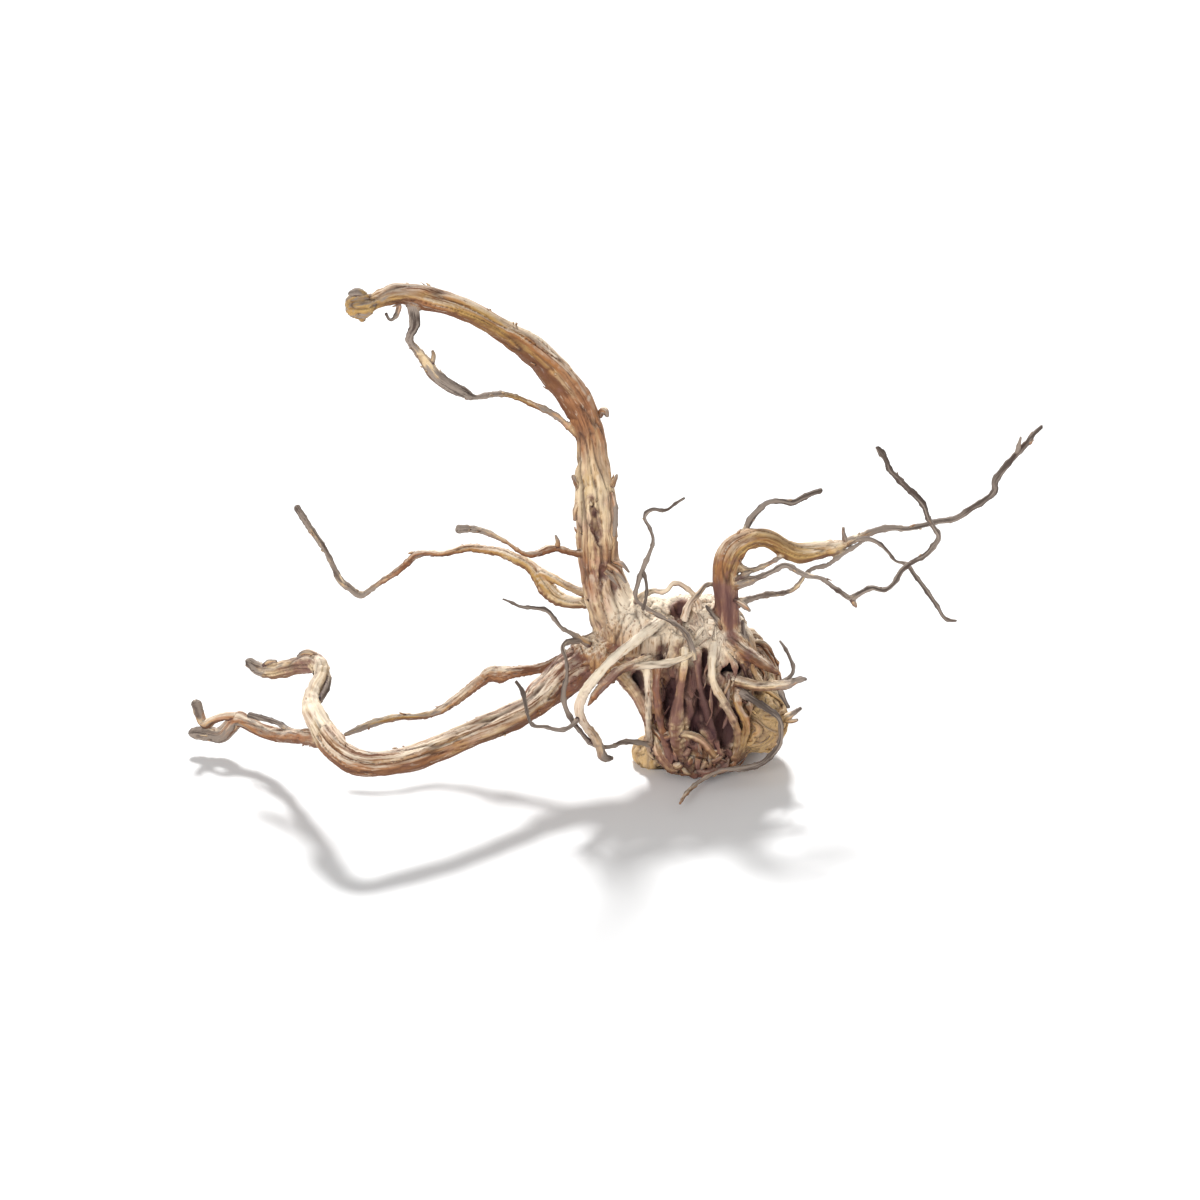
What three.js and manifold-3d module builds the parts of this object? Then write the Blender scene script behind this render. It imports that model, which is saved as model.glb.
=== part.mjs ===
// A piece of driftwood: the root crown of a shrub, with the stem, limbs, twigs and roots that grew from it.
// It is one grown piece of bleached wood, so it is one solid. It stands on the trimmed underside of its crown.
// Millimetres, +Z up. The origin is the middle of the flat spot under the crown.
import * as THREE from "three";
import { mergeVertices } from "three/addons/utils/BufferGeometryUtils.js";
import Module from "manifold-3d";

const wasm = await Module();
wasm.setup();

// Driving dimensions
const VIEW_TILT = THREE.MathUtils.degToRad(22);
const VIEW_DISTANCE = 1800;
const AIM = { across: -50, rise: 82 };
const WOOD_COLOUR = 0xc9a071;
const FLOOR_CUT = 400;

// How finely a limb is cut: a step along it every few radii, but never shorter or longer than these.
const STEP_PER_RADIUS = 1.3;
const SHORTEST_STEP = 7;
const LONGEST_STEP = 9;

// What is measured is soft at its edges, which makes thin wood look thicker. Widths add as squares do, so the
// softness comes off that way, but a twig keeps at least this share of what was measured.
const EDGE_SOFTNESS = 1.5;
const THINNEST_SHARE = 0.62;

// Every centre line below is a list of [across, rise, depth, measured radius].
// Across and rise are what a viewer in front measures, who looks down by VIEW_TILT from VIEW_DISTANCE away,
// straight at AIM: across to the right of the crown's foot, rise up from it. Depth is how far behind it lies.
const STEM = {
  trunk: {
    sides: 10,
    line: [
      [-24, 46, 2, 17], [-34, 62, 6, 16], [-43, 77, 8, 13.2], [-48.5, 92, 10, 11], [-51, 108, 11, 10.2],
      [-52, 124.5, 12, 10.4], [-52.5, 138, 13, 9.8], [-54, 152, 13, 7.8], [-56, 167, 12, 7.2],
      [-61, 180, 10, 7.6], [-71, 194, 6, 7.6], [-83.5, 206.5, 0, 7], [-102.5, 219, -8, 5.4],
      [-121.5, 228.5, -15, 5.8], [-135, 232.5, -19, 6], [-146, 235, -22, 5.6], [-155, 234.5, -25, 5],
      [-163, 231.5, -27, 4], [-168.5, 229.8, -29, 6.5], [-173.5, 229, -30, 6],
    ],
  },
  rightStem: {
    sides: 8,
    line: [
      [11, 37, -2, 8.5], [12.5, 48, -2, 8], [13.5, 59.5, -3, 7.2], [13.5, 72, -4, 6.3], [13.5, 83, -4, 6.5],
      [12.5, 93.5, -4, 6.6], [13.5, 102, -4, 6.6], [16.5, 107.5, -2, 6.4], [22, 111.5, 0, 5.8],
      [28.5, 113.2, 3, 5], [35.5, 112, 6, 4.7], [41, 108.5, 8, 4.9], [47, 105.8, 10, 5.4],
      [53.5, 105.8, 13, 5.5], [60, 107, 15, 5], [65.5, 108, 17, 4.4], [71, 109.5, 19, 3.3],
    ],
  },
};

const LIMBS = {
  frontLimb: {
    sides: 9,
    line: [
      [-37.5, 59.5, 4, 14], [-51.5, 53, 2, 12], [-62.5, 47, -4, 10], [-72.5, 40, -13, 9],
      [-86, 28, -31, 6.8], [-100, 20.5, -46, 6.6], [-115, 14.5, -60, 6.6], [-131, 8, -73, 6.3],
      [-147.5, 2, -84, 6.4], [-161, 0, -91, 6], [-171, 0.6, -93, 6.5], [-179, 5, -87, 6.5],
      [-184.8, 11.5, -77, 6.5], [-189, 18, -66, 5.8],
    ],
  },
  frontLimbFork: {
    sides: 7,
    line: [
      [-187, 14, -73, 6], [-192.5, 24, -59, 5.8], [-194.5, 31, -50, 4.8], [-192.6, 38, -42, 4.1],
      [-189.8, 43.5, -35, 4], [-190.8, 49.6, -27, 5.2], [-197.5, 50, -20, 4.9], [-205, 48.3, -14, 4.5],
      [-214, 46.5, -8, 4.1], [-220, 47.3, -4, 3.7], [-225.5, 51, -1, 3],
    ],
  },
  frontLimbTip: {
    sides: 6,
    line: [
      [-182, 11.5, -76, 5.2], [-191, 13, -52, 4.8], [-201, 13.8, -30, 4.2], [-210, 14.5, -12, 4],
      [-219, 17, 1, 3.9], [-226, 20.6, 8, 3.9], [-231, 22.4, 11, 4.1], [-235, 18.5, 12, 4.4],
      [-239.5, 14.5, 12, 4.4], [-244, 14.8, 13, 4.2], [-250, 15.5, 15, 3.9], [-256, 15.5, 16, 2.9],
    ],
  },
  frontLimbProng: {
    sides: 6,
    line: [
      [-232, 23.5, 11, 3], [-238, 23.8, 10, 2.6], [-243.5, 22, 11, 2.6], [-247.8, 20.5, 13, 3],
      [-250, 24.5, 14, 2.8], [-251.2, 28, 14, 3], [-252, 30.5, 15, 3.2],
    ],
  },
  upperLeftRoot: {
    sides: 6,
    line: [
      [-57.5, 58, 0, 4.5], [-70, 52, 3, 3.4], [-77.5, 48.5, 5, 3], [-85, 47, 7, 3.1],
      [-93, 46, 8, 3.4], [-100, 44.8, 9, 4.7], [-105, 44.8, 9, 4.4], [-109, 42, 9, 3.4],
      [-116, 36.6, 8, 3.1], [-124, 30.6, 5, 2.9], [-132, 26, 2, 2.5], [-141, 24, -1, 2.4],
      [-151, 23.5, -4, 2.4], [-160, 21.5, -7, 2.4], [-168, 18.5, -9, 2.5], [-177, 14.7, -11, 2],
    ],
  },
  backLimb: {
    sides: 6,
    line: [
      [-47.5, 82, 14, 4], [-58.5, 80.5, 20, 3.4], [-65, 81, 25, 3.4], [-72, 83.5, 29, 4.2],
      [-77, 88.5, 32, 4.8], [-80.5, 94, 35, 4.3], [-85, 99, 38, 3.6], [-92, 102.5, 42, 3.1],
      [-100, 106, 47, 2.8], [-107.5, 107, 51, 2.7], [-115, 108, 55, 2.6], [-122.5, 106.5, 59, 2.2],
      [-129, 105, 62, 2.1], [-136, 105.5, 65, 2], [-142, 104.5, 67, 2.4], [-147, 100, 69, 2.2],
      [-153, 95, 71, 2.3], [-159, 91.5, 73, 2.1], [-165, 87, 75, 2.1], [-169.5, 84.5, 77, 2.4],
      [-175, 88, 79, 2.3], [-179.5, 91.5, 80, 2.3], [-183, 98.5, 82, 2], [-187.5, 107, 85, 2.2],
      [-193.5, 116, 88, 2.2], [-198.5, 124, 91, 2.3], [-201.5, 128.5, 93, 2.5],
    ],
  },
  backLimbWeb: {
    sides: 6,
    line: [
      [-48, 86, 12, 3.6], [-58.5, 86, 18, 2.8], [-66, 89, 24, 2.4], [-72.5, 92.5, 29, 2.5],
      [-79, 95.5, 33, 2.8],
    ],
  },
  midLimb: {
    sides: 5,
    line: [
      [-50, 104, 10, 3.4], [-58.5, 105, 6, 2.3], [-65, 106, 3, 2], [-71, 108, 1, 2], [-76, 107.5, -1, 2.4],
      [-81, 105.5, -3, 2], [-86.5, 105, -5, 1.8], [-91, 107, -6, 1.7], [-96, 110.5, -8, 1.6],
      [-101.5, 113.5, -10, 1.8], [-107, 116, -12, 2.1], [-113.5, 117.5, -14, 2.2], [-121, 117.5, -16, 2.6],
    ],
  },
  hangingLoop: {
    sides: 6,
    line: [
      [-58, 162, 10, 3], [-64, 167, 8, 2], [-70, 172.5, 6, 1.9], [-77, 177, 3, 2], [-85, 180.5, -1, 1.8],
      [-92.5, 183.5, -5, 1.9], [-100, 185, -9, 2], [-106.5, 184.5, -12, 1.8], [-112, 183.5, -14, 1.7],
      [-119, 186, -17, 3], [-126.5, 190, -19, 3.5], [-133, 195, -21, 3.6], [-137, 201, -22, 3.2],
      [-141, 206.5, -23, 2.4], [-145, 211.5, -23, 2], [-144.5, 215, -24, 2.4], [-142.5, 219.5, -24, 2.9],
      [-143, 226, -23, 3.1], [-144.5, 232.5, -22, 3.4],
    ],
  },
};

const TWIGS = {
  farTwig: {
    sides: 5,
    line: [
      [67, 108.5, 18, 3.2], [71, 109.5, 19, 3], [76.5, 112, 20, 2.4], [82.5, 114.5, 22, 2.1],
      [89, 117, 24, 2], [96, 118, 26, 2], [103.5, 117.5, 28, 1.9], [111, 119, 29, 1.9],
      [118.5, 121, 30, 1.9], [127.5, 122.5, 31, 2], [135, 127.5, 32, 1.9], [142.5, 132, 33, 2.1],
      [147, 136.5, 34, 2.3], [147.5, 141.5, 34, 2.2], [150.5, 146, 35, 2], [156, 152.5, 36, 1.9],
      [160, 157, 37, 2.1], [163, 160, 37, 2.2], [166.5, 164.5, 38, 1.6], [171, 168.5, 39, 1.2],
    ],
  },
  crossingTwig: {
    sides: 5,
    line: [
      [18, 90.5, -6, 3.6], [24, 91.5, -10, 2.8], [30, 93.4, -14, 2.2], [36.5, 96.4, -17, 1.9], [43, 99.5, -20, 1.9],
      [48.5, 96.5, -22, 1.8], [54.5, 94, -24, 1.7], [60.5, 93, -26, 1.7], [66, 89, -28, 2],
      [71, 85.5, -30, 1.9], [75, 83, -32, 2], [80.5, 85.5, -33, 1.7], [86, 88, -34, 1.8],
      [92, 87, -35, 1.7], [97, 90.5, -36, 1.7], [101, 97, -37, 1.6], [106, 101, -38, 1.7],
      [112.5, 104.5, -39, 1.7], [117, 109.5, -40, 1.8], [119.5, 114, -41, 1.9], [117, 118.5, -41, 1.8],
      [114, 123.5, -42, 1.7], [112, 129, -43, 1.8], [109, 133, -43, 1.9], [103.5, 138, -44, 1.9],
      [98.5, 143.5, -45, 1.9], [95, 147, -45, 1.8], [93, 152.5, -46, 1.7], [90.5, 156, -46, 2.1],
      [88.5, 158.5, -47, 1.5],
    ],
  },
  returningTwig: {
    sides: 4,
    line: [
      [17, 80, -2, 3.4], [25, 82.5, 0, 1.9], [32.5, 84.8, 2, 1.7], [40, 85.5, 4, 1.6], [46, 87, 6, 1.6],
      [50, 91, 8, 1.6], [53, 95, 9, 1.5], [57, 98, 11, 1.6], [63, 99.2, 13, 1.7], [68, 102.5, 15, 1.6],
      [73, 106, 17, 1.6], [79, 109.5, 19, 1.3], [84, 113.5, 22, 1.5],
    ],
  },
  droopingTwig: {
    sides: 4,
    line: [
      [76, 111.5, 20, 1.6], [83, 112.5, 17, 1.4], [89, 110.5, 14, 1.4], [94, 106, 11, 1.4],
      [98, 101.5, 9, 1.4], [103, 100, 7, 1.5], [107.5, 94.5, 5, 1.3], [113, 87, 3, 1.3],
      [118.5, 79, 1, 1.2], [123, 72.5, -1, 1.2], [128, 71.5, -2, 0.9],
    ],
  },
  risingTwig: {
    sides: 5,
    line: [
      [17.5, 109.5, 0, 2.2], [22.5, 117, 4, 1.8], [25, 122, 7, 2], [29.5, 127, 10, 1.9], [34, 130.5, 13, 1.7],
      [40, 131.5, 16, 1.7], [46, 131, 19, 1.7], [51.5, 133.5, 22, 1.8], [56.5, 135.5, 24, 1.7],
      [60.5, 136.5, 26, 1.4],
    ],
  },
  braceTwig: {
    sides: 4,
    line: [
      [18, 99.5, -4, 3.4], [24, 97, -5, 2.2], [31, 98.8, -3, 1.6], [37.5, 102, 2, 1.7], [43.5, 105.5, 8, 2],
    ],
  },
  crownTwig: {
    sides: 4,
    line: [
      [-3, 52, -24, 2.4], [-4.5, 59.5, -22, 2], [-8.5, 66.5, -19, 1.6], [-14, 71, -16, 1.4],
      [-21, 74.5, -14, 1.3], [-27.5, 78.5, -12, 1.3], [-32, 83, -11, 1.3], [-31, 90, -10, 1.5],
      [-28.5, 98, -9, 1.7], [-25.5, 105, -8, 1.5], [-23.5, 112, -8, 1.3], [-25, 118, -7, 1.2],
      [-27.5, 123.5, -6, 1.2], [-24.5, 127, -7, 1.2], [-17, 127, -9, 1.1], [-12, 130.5, -11, 1],
      [-8, 133, -13, 0.8],
    ],
  },
  crownTwigFork: {
    sides: 4,
    line: [[-29, 97.5, -9, 1.4], [-27, 91, -12, 1.1], [-27, 84, -14, 1.1], [-28.5, 77.5, -12, 1.3]],
  },
  leftTwig: {
    sides: 4,
    line: [
      [-55, 59.5, -8, 2.2], [-64.5, 65.5, -14, 1.7], [-69, 68, -17, 1.2], [-72.5, 72, -19, 1.2],
      [-76.5, 76.5, -21, 1.2], [-82.5, 78, -23, 1.2], [-90, 79, -26, 1.1], [-94.5, 81, -28, 1],
      [-98.5, 82.5, -30, 0.8],
    ],
  },
  forkTwig: {
    sides: 4,
    line: [[-204, 16, -22, 1.9], [-211, 20.5, -12, 1.8], [-218, 22.5, -4, 1.8], [-225, 24.5, 3, 1.5]],
  },
  forkStub: {
    sides: 5,
    line: [[-189, 50, -28, 2.4], [-186.5, 44, -34, 2.2], [-186.8, 38, -42, 2.1], [-190, 32, -50, 2]],
  },
  tipHook: {
    sides: 4,
    line: [
      [-150.5, 232, -24, 2.2], [-151, 227, -26, 1.8], [-152.5, 223.5, -28, 1.3], [-155, 222, -30, 1],
      [-157, 225, -31, 0.7],
    ],
  },
  tipProngTop: {
    sides: 4,
    line: [[-166, 232, -29, 3.2], [-171, 235.5, -31, 2.5], [-175, 235.2, -32, 2]],
  },
  tipProngLow: {
    sides: 4,
    line: [[-166, 227, -28, 3], [-168.5, 224, -27, 2.5], [-169, 222.5, -26, 1.8]],
  },
};

const ROOTS = {
  archingRoot: {
    sides: 6,
    line: [
      [-19, 71, -10, 3.8], [-27.5, 65.5, -20, 3.2], [-35, 59.5, -29, 2.8], [-42.5, 53.5, -36, 2.7],
      [-49, 47, -42, 2.7], [-54.5, 40.5, -46, 2.9], [-59, 33.5, -48, 3], [-60.5, 26.5, -49, 2.9],
      [-57.5, 20, -48, 2.6], [-53.5, 14.5, -46, 2.8], [-50.5, 9, -44, 2.6], [-48, 3.5, -42, 2.6],
      [-43.5, 3, -40, 1.4],
    ],
  },
  pointedRoot: {
    sides: 5,
    line: [
      [-25, 52, -24, 3.4], [-33, 49.5, -31, 3], [-40, 47, -36, 2.8], [-46, 42, -40, 3], [-51, 36.5, -42, 2.6],
      [-54, 32.5, -43, 1.8], [-56, 29, -44, 0.8],
    ],
  },
  browRoot: {
    sides: 5,
    line: [
      [-44, 46.5, -31, 1.6], [-37, 48, -33, 2], [-27.5, 49.5, -32, 2.4], [-18, 50, -30, 2.4],
      [-9, 52.5, -27, 2.2], [-1, 57, -20, 2.4],
    ],
  },
  postRoot: {
    sides: 5,
    line: [
      [-27, 55, -23, 2.8], [-26.5, 46, -28, 2.2], [-26, 36, -28, 2], [-25.5, 26, -25, 2], [-25.5, 17, -20, 2.1],
      [-24.5, 8, -13, 2.8],
    ],
  },
  shoulderRoot: {
    sides: 6,
    line: [
      [-47, 50.5, -8, 4.4], [-40, 45, -10, 4], [-33.5, 37.5, -11, 3.6], [-28.8, 29.5, -12, 3.4],
      [-25.6, 21, -12, 3.2], [-24, 12, -9, 3.6], [-24.5, 4, -5, 4.2],
    ],
  },
  threadRoot: {
    sides: 4,
    line: [
      [-61, 62, -12, 1.9], [-68.5, 59, -22, 1.5], [-67, 52, -30, 1.3], [-66.5, 44, -36, 1.3],
      [-68, 37, -40, 1.4], [-67.5, 29.5, -43, 1.4], [-64, 22, -46, 1.5], [-59.5, 16, -47, 1.5],
      [-55, 11, -45, 1.6], [-50, 8.5, -42, 1.4], [-43.5, 9, -37, 1.5], [-39, 11, -32, 1.5],
      [-32, 11, -25, 1.5], [-23, 9, -15, 2],
    ],
  },
  whiskerRoot: {
    sides: 4,
    line: [
      [-92, 41.5, -56, 0.9], [-89, 37, -58, 1.4], [-87.5, 31, -60, 1.4], [-86, 24, -60, 1.2],
      [-83.5, 19.5, -58, 1.2], [-77.5, 18.5, -56, 1.2], [-69.5, 17, -54, 1.3], [-64.5, 19, -52, 1.4],
      [-60.5, 23.5, -50, 1.6],
    ],
  },
  rightRoot: {
    sides: 5,
    line: [
      [12, 44, -14, 4], [21, 41, -20, 3.4], [29, 39, -22, 3.1], [37, 39.2, -22, 2.9], [44, 39.8, -21, 2.7],
      [49, 42, -20, 2], [53.5, 42.5, -20, 1.2],
    ],
  },
  rightRootSpike: {
    sides: 4,
    line: [
      [38, 40, -20, 1.8], [44, 43, -18, 1.4], [46.5, 47, -16, 1.2], [45, 53, -14, 1.1], [42.5, 58, -12, 1.1],
      [40, 61.5, -11, 0.8],
    ],
  },
  rightRootDrop: {
    sides: 4,
    line: [[39.5, 39, -22, 1.8], [41.5, 33.5, -23, 1.5], [44, 28.5, -22, 1]],
  },
  sweepingRoot: {
    sides: 5,
    line: [
      [20, 36, -22, 2.8], [28, 31.5, -25, 1.9], [34, 27.5, -25, 1.8], [39.5, 22.5, -24, 1.7],
      [40.5, 16.5, -24, 1.7], [39.5, 10, -25, 1.7], [35.5, 4.5, -26, 1.8], [30, 0, -27, 1.8],
      [23.5, -2, -28, 1.9], [16.5, -2.5, -29, 1.7], [9, -4, -30, 1.5], [1.5, -7.5, -34, 1.4],
      [-5, -13, -42, 1.2], [-10, -19.5, -58, 0.9],
    ],
  },
  sideStub: {
    sides: 5,
    line: [[36, 19, -12, 3.4], [43, 23, -15, 2.5], [47, 25.5, -15, 2], [50.5, 28, -14, 1.2]],
  },
  sideStubFork: {
    sides: 4,
    line: [[41, 22.5, -15, 2], [45, 21.5, -16, 1.6], [48.5, 22, -17, 1]],
  },
  stemSpur: {
    sides: 4,
    line: [[26, 48, -6, 2.6], [24, 56, -7, 2.2], [22, 63, -8, 1.6], [21, 71, -8, 0.8]],
  },
  stemRoot: {
    sides: 5,
    line: [[17, 60, -10, 3.8], [25, 54.5, -13, 3.6], [32, 49.5, -14, 3.2], [38.5, 46, -13, 1.8]],
  },
  crestRoot: {
    sides: 5,
    line: [
      [-31, 82, -2, 2.4], [-24, 86.5, -6, 1.8], [-17.5, 86.5, -10, 1.6], [-13, 90.5, -8, 1.5], [-6.5, 88, -5, 1.6],
      [-1, 82, -4, 2.2],
    ],
  },
  crestRootRight: {
    sides: 5,
    line: [[-6, 80, -8, 2.2], [-1, 85, -4, 1.7], [5, 90, 0, 1.5], [11, 85, 0, 2]],
  },
  crownSpike: {
    sides: 4,
    line: [[13.5, 62, -6, 2.8], [9.5, 70, -9, 1.8], [6, 75, -10, 1.3], [3, 79, -11, 0.7]],
  },
  frontRootA: {
    sides: 5,
    line: [
      [-21.5, 51, -24, 2.8], [-22, 40, -28, 2.3], [-21, 29, -28, 2.2], [-19, 18, -25, 2.2],
      [-16, 8, -21, 2.6], [-14, 1, -17, 2.6],
    ],
  },
  frontRootB: {
    sides: 5,
    line: [
      [-8, 58, -22, 3], [-8.5, 48, -28, 2.6], [-10, 37, -29, 2.4], [-11.5, 26, -29, 3.6], [-12, 17, -27, 4.2],
      [-10, 7, -23, 3.4], [-4, -3, -20, 2.6],
    ],
  },
  frontRootC: {
    sides: 5,
    line: [
      [-1.5, 57, -21, 2.6], [-1, 46, -24, 2.4], [1, 35, -26, 2.3], [4, 24, -26, 2.3], [7, 13, -24, 2.4],
      [9, 2, -20, 2.8],
    ],
  },
  frontRootD: {
    sides: 5,
    line: [
      [7, 60, -13, 3], [6, 50, -23, 2.4], [7, 40, -27, 2.4], [12, 31, -28, 2.4], [17, 21, -26, 2.4],
      [19, 11, -22, 2.4], [17, 3, -17, 2.6],
    ],
  },
  footRoot: {
    sides: 5,
    line: [[-17, 14, -25, 2.6], [-8, 15, -29, 2.4], [-1, 13, -29, 2.6], [4, 8, -27, 2.4], [9, 2, -22, 2.2]],
  },
  burlRoot: {
    sides: 5,
    line: [
      [19, 38, -20, 3], [19, 29, -25, 2.4], [23, 21, -26, 2.6], [22, 13, -23, 2.4], [18, 5, -18, 2.6],
    ],
  },
};

// The swollen wood under the roots: [x, y, z] of each lump's middle and its three radii.
const LUMPS = {
  heart: { at: [0.5, 0, 36], radii: [26.5, 28, 40] },
  foot: { at: [-1, -3, 14], radii: [25, 18, 18] },
  heel: { at: [12, 19, 31], radii: [28, 25, 34] },
  toe: { at: [-24.8, 3, 4.5], radii: [9, 12, 8] },
  trunkFoot: { at: [-30, 4, 70], radii: [22, 18, 19] },
  bridge: { at: [-4, 6, 74], radii: [24, 17, 14] },
  stemFoot: { at: [13, -2, 60], radii: [14, 14, 20] },
  limbFoot: { at: [-50, -1, 58], radii: [16, 13, 13] },
  burl: { at: [29, -7, 26], radii: [13, 15, 15] },
};
const LUMP_DETAIL = 1;
const KNOBBLE = 0.09;

// Rotted hollows in the crown and trunk, which the roots cross.
const HOLLOWS = {
  tall: { at: [-15.5, -30, 45], radii: [6, 16, 18] },
  leftEye: { at: [-32, -17, 50], radii: [5, 9, 9] },
  middle: { at: [1.5, -31, 43], radii: [7, 14, 13] },
  low: { at: [12.5, -28, 28], radii: [7.5, 15, 14] },
  topPit: { at: [-11.5, -9, 88], radii: [4.5, 8, 5] },
  seam: { at: [-52, 1, 130], radii: [2.2, 5, 8] },
  seamFoot: { at: [-47.5, -2, 100], radii: [2.4, 5, 7] },
};
const HOLLOW_DETAIL = 1;

// Roots that wind down over the crown all round, from its shoulder to its foot.
const CROWN_ROOTS = {
  count: 10,
  sides: 4,
  steps: 8,
  top: 74,
  foot: 5,
  radius: [2.2, 4.2],
  sway: 0.3,
  proud: 0.25,
  middle: new THREE.Vector3(2, 2, 0),
  firstAngle: -20,
  lastAngle: 215,
};

// Short broken spurs where side twigs snapped off.
const SPURS = { perLimb: { trunk: 12, rightStem: 4, frontLimb: 6, backLimb: 4 }, sides: 4 };
const SPUR_LENGTH = [2.2, 4.6];
const SPUR_RADIUS = [1, 1.9];

// Repeatable numbers from 0 to 1.
function numbersFrom(seed) {
  let state = seed;
  return () => {
    state = (state * 1664525 + 1013904223) % 4294967296;
    return state / 4294967296;
  };
}
const between = ([low, high], share) => low + (high - low) * share;

// The point that a viewer in front sees at across and rise, at a given depth.
function placed([across, rise, depth]) {
  const [sin, cos] = [Math.sin(VIEW_TILT), Math.cos(VIEW_TILT)];
  const beyond = (depth - rise * sin) / (cos + ((rise - AIM.rise) * sin) / VIEW_DISTANCE);
  const farther = 1 + beyond / VIEW_DISTANCE;
  const height = AIM.rise + farther * (rise - AIM.rise);
  return new THREE.Vector3(AIM.across + farther * (across - AIM.across), depth, height * cos - beyond * sin);
}

// A shape whose radii are the true ones.
function trueToSize({ line, ...shape }) {
  const radiusOf = (measured) => Math.sqrt(Math.max(measured ** 2 - EDGE_SOFTNESS ** 2, (THINNEST_SHARE * measured) ** 2));
  return { ...shape, line: line.map(([across, rise, depth, measured]) => [across, rise, depth, radiusOf(measured)]) };
}

function solidOf(geometry) {
  const bare = geometry.clone();
  for (const name of ["normal", "uv"]) bare.deleteAttribute(name);
  const merged = mergeVertices(bare, 1e-4);
  const mesh = new wasm.Mesh({
    numProp: 3,
    vertProperties: new Float32Array(merged.attributes.position.array),
    triVerts: new Uint32Array(merged.index.array),
  });
  return new wasm.Manifold(mesh);
}

// How a limb's section departs from round: flutes that wind slowly along the grain, and swellings.
function fluted(angle, distance, radius) {
  const flute = 0.09 * Math.sin(3 * angle + distance / (2.1 * radius)) + 0.05 * Math.sin(5 * angle - distance / 23);
  const swelling = 0.05 * Math.sin(distance / (1.7 * radius)) + 0.03 * Math.sin(distance / 3.1);
  return 1 + flute + swelling;
}

// A closed solid whose section follows a centre line: a cylinder of unit size, bent and swelled onto it.
function limb({ sides, line, stretch = 1 }) {
  const curve = new THREE.CatmullRomCurve3(line.map(placed), false, "centripetal");
  curve.arcLengthDivisions = 40 * line.length;
  const length = curve.getLength();
  const meanRadius = line.reduce((sum, point) => sum + point[3], 0) / line.length;
  const step = stretch * THREE.MathUtils.clamp(STEP_PER_RADIUS * meanRadius, SHORTEST_STEP, LONGEST_STEP);
  const steps = Math.max(2, Math.round(length / step));
  const frames = curve.computeFrenetFrames(steps, false);
  const geometry = new THREE.CylinderGeometry(1, 1, 1, sides, steps);
  const position = geometry.attributes.position;
  const point = new THREE.Vector3();
  for (let i = 0; i < position.count; i++) {
    point.fromBufferAttribute(position, i);
    const station = Math.round((point.y + 0.5) * steps);
    const share = station / steps;
    const place = curve.getUtoTmapping(share) * (line.length - 1);
    const before = Math.min(Math.floor(place), line.length - 2);
    const radius = THREE.MathUtils.lerp(line[before][3], line[before + 1][3], place - before);
    const spread = Math.hypot(point.x, point.z);
    const reach = spread * radius * fluted(Math.atan2(point.z, point.x), share * length, radius);
    const [out, over] = spread ? [point.x / spread, point.z / spread] : [0, 0];
    const middle = curve.getPointAt(share);
    middle.addScaledVector(frames.binormals[station], out * reach);
    middle.addScaledVector(frames.normals[station], over * reach);
    position.setXYZ(i, middle.x, middle.y, middle.z);
  }
  return solidOf(geometry);
}

// A knobbly ellipsoid.
function lump({ at, radii }, detail, knobble) {
  const geometry = new THREE.IcosahedronGeometry(1, detail);
  const position = geometry.attributes.position;
  const point = new THREE.Vector3();
  for (let i = 0; i < position.count; i++) {
    point.fromBufferAttribute(position, i).normalize();
    const bump = Math.sin(5 * point.x + at[0]) * Math.sin(6 * point.y + at[1]) * Math.cos(5 * point.z + at[2]);
    point.multiplyScalar(1 + knobble * bump);
    position.setXYZ(i, at[0] + radii[0] * point.x, at[1] + radii[1] * point.y, at[2] + radii[2] * point.z);
  }
  return solidOf(geometry);
}

// How far out the crown's surface lies from its middle, at a height and angle: the furthest of its lumps.
function crownReach(angle, z) {
  const [dx, dy] = [Math.cos(angle), Math.sin(angle)];
  let furthest = 0;
  for (const { at, radii } of [LUMPS.heart, LUMPS.foot, LUMPS.heel, LUMPS.bridge, LUMPS.burl]) {
    const [ox, oy, oz] = [CROWN_ROOTS.middle.x - at[0], CROWN_ROOTS.middle.y - at[1], z - at[2]];
    const a = (dx / radii[0]) ** 2 + (dy / radii[1]) ** 2;
    const b = (ox * dx) / radii[0] ** 2 + (oy * dy) / radii[1] ** 2;
    const c = (ox / radii[0]) ** 2 + (oy / radii[1]) ** 2 + (oz / radii[2]) ** 2 - 1;
    const inside = b * b - a * c;
    if (inside > 0) furthest = Math.max(furthest, (-b + Math.sqrt(inside)) / a);
  }
  return furthest;
}

// Turns a real point into what the viewer in front measures, so that the crown's roots are lines as the others are.
function seen({ x, y, z }) {
  const [sin, cos] = [Math.sin(VIEW_TILT), Math.cos(VIEW_TILT)];
  const farther = 1 + (y * cos - z * sin) / VIEW_DISTANCE;
  const height = z * cos + y * sin;
  return [AIM.across + (x - AIM.across) / farther, AIM.rise + (height - AIM.rise) / farther, y];
}

function crownRoots() {
  const random = numbersFrom(7);
  const { count, sides, steps, top, foot, radius, sway, proud, middle, firstAngle, lastAngle } = CROWN_ROOTS;
  return Array.from({ length: count }, (_, i) => {
    const start = THREE.MathUtils.degToRad(firstAngle + ((lastAngle - firstAngle) * (i + random())) / count);
    const lean = (random() - 0.5) * 1.1;
    const phase = random() * 6.28;
    const thick = between(radius, random());
    const line = Array.from({ length: steps + 1 }, (_, step) => {
      const share = step / steps;
      const z = top + (foot - top) * share;
      const angle = start + lean * share + sway * Math.sin(phase + 4.5 * share);
      const out = crownReach(angle, z) + proud * thick;
      const point = new THREE.Vector3(middle.x + out * Math.cos(angle), middle.y + out * Math.sin(angle), z);
      return [...seen(point), thick * (0.8 + 0.3 * Math.sin(phase + 7 * share))];
    });
    return limb({ sides, line, stretch: 1.8 });
  });
}

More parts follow.
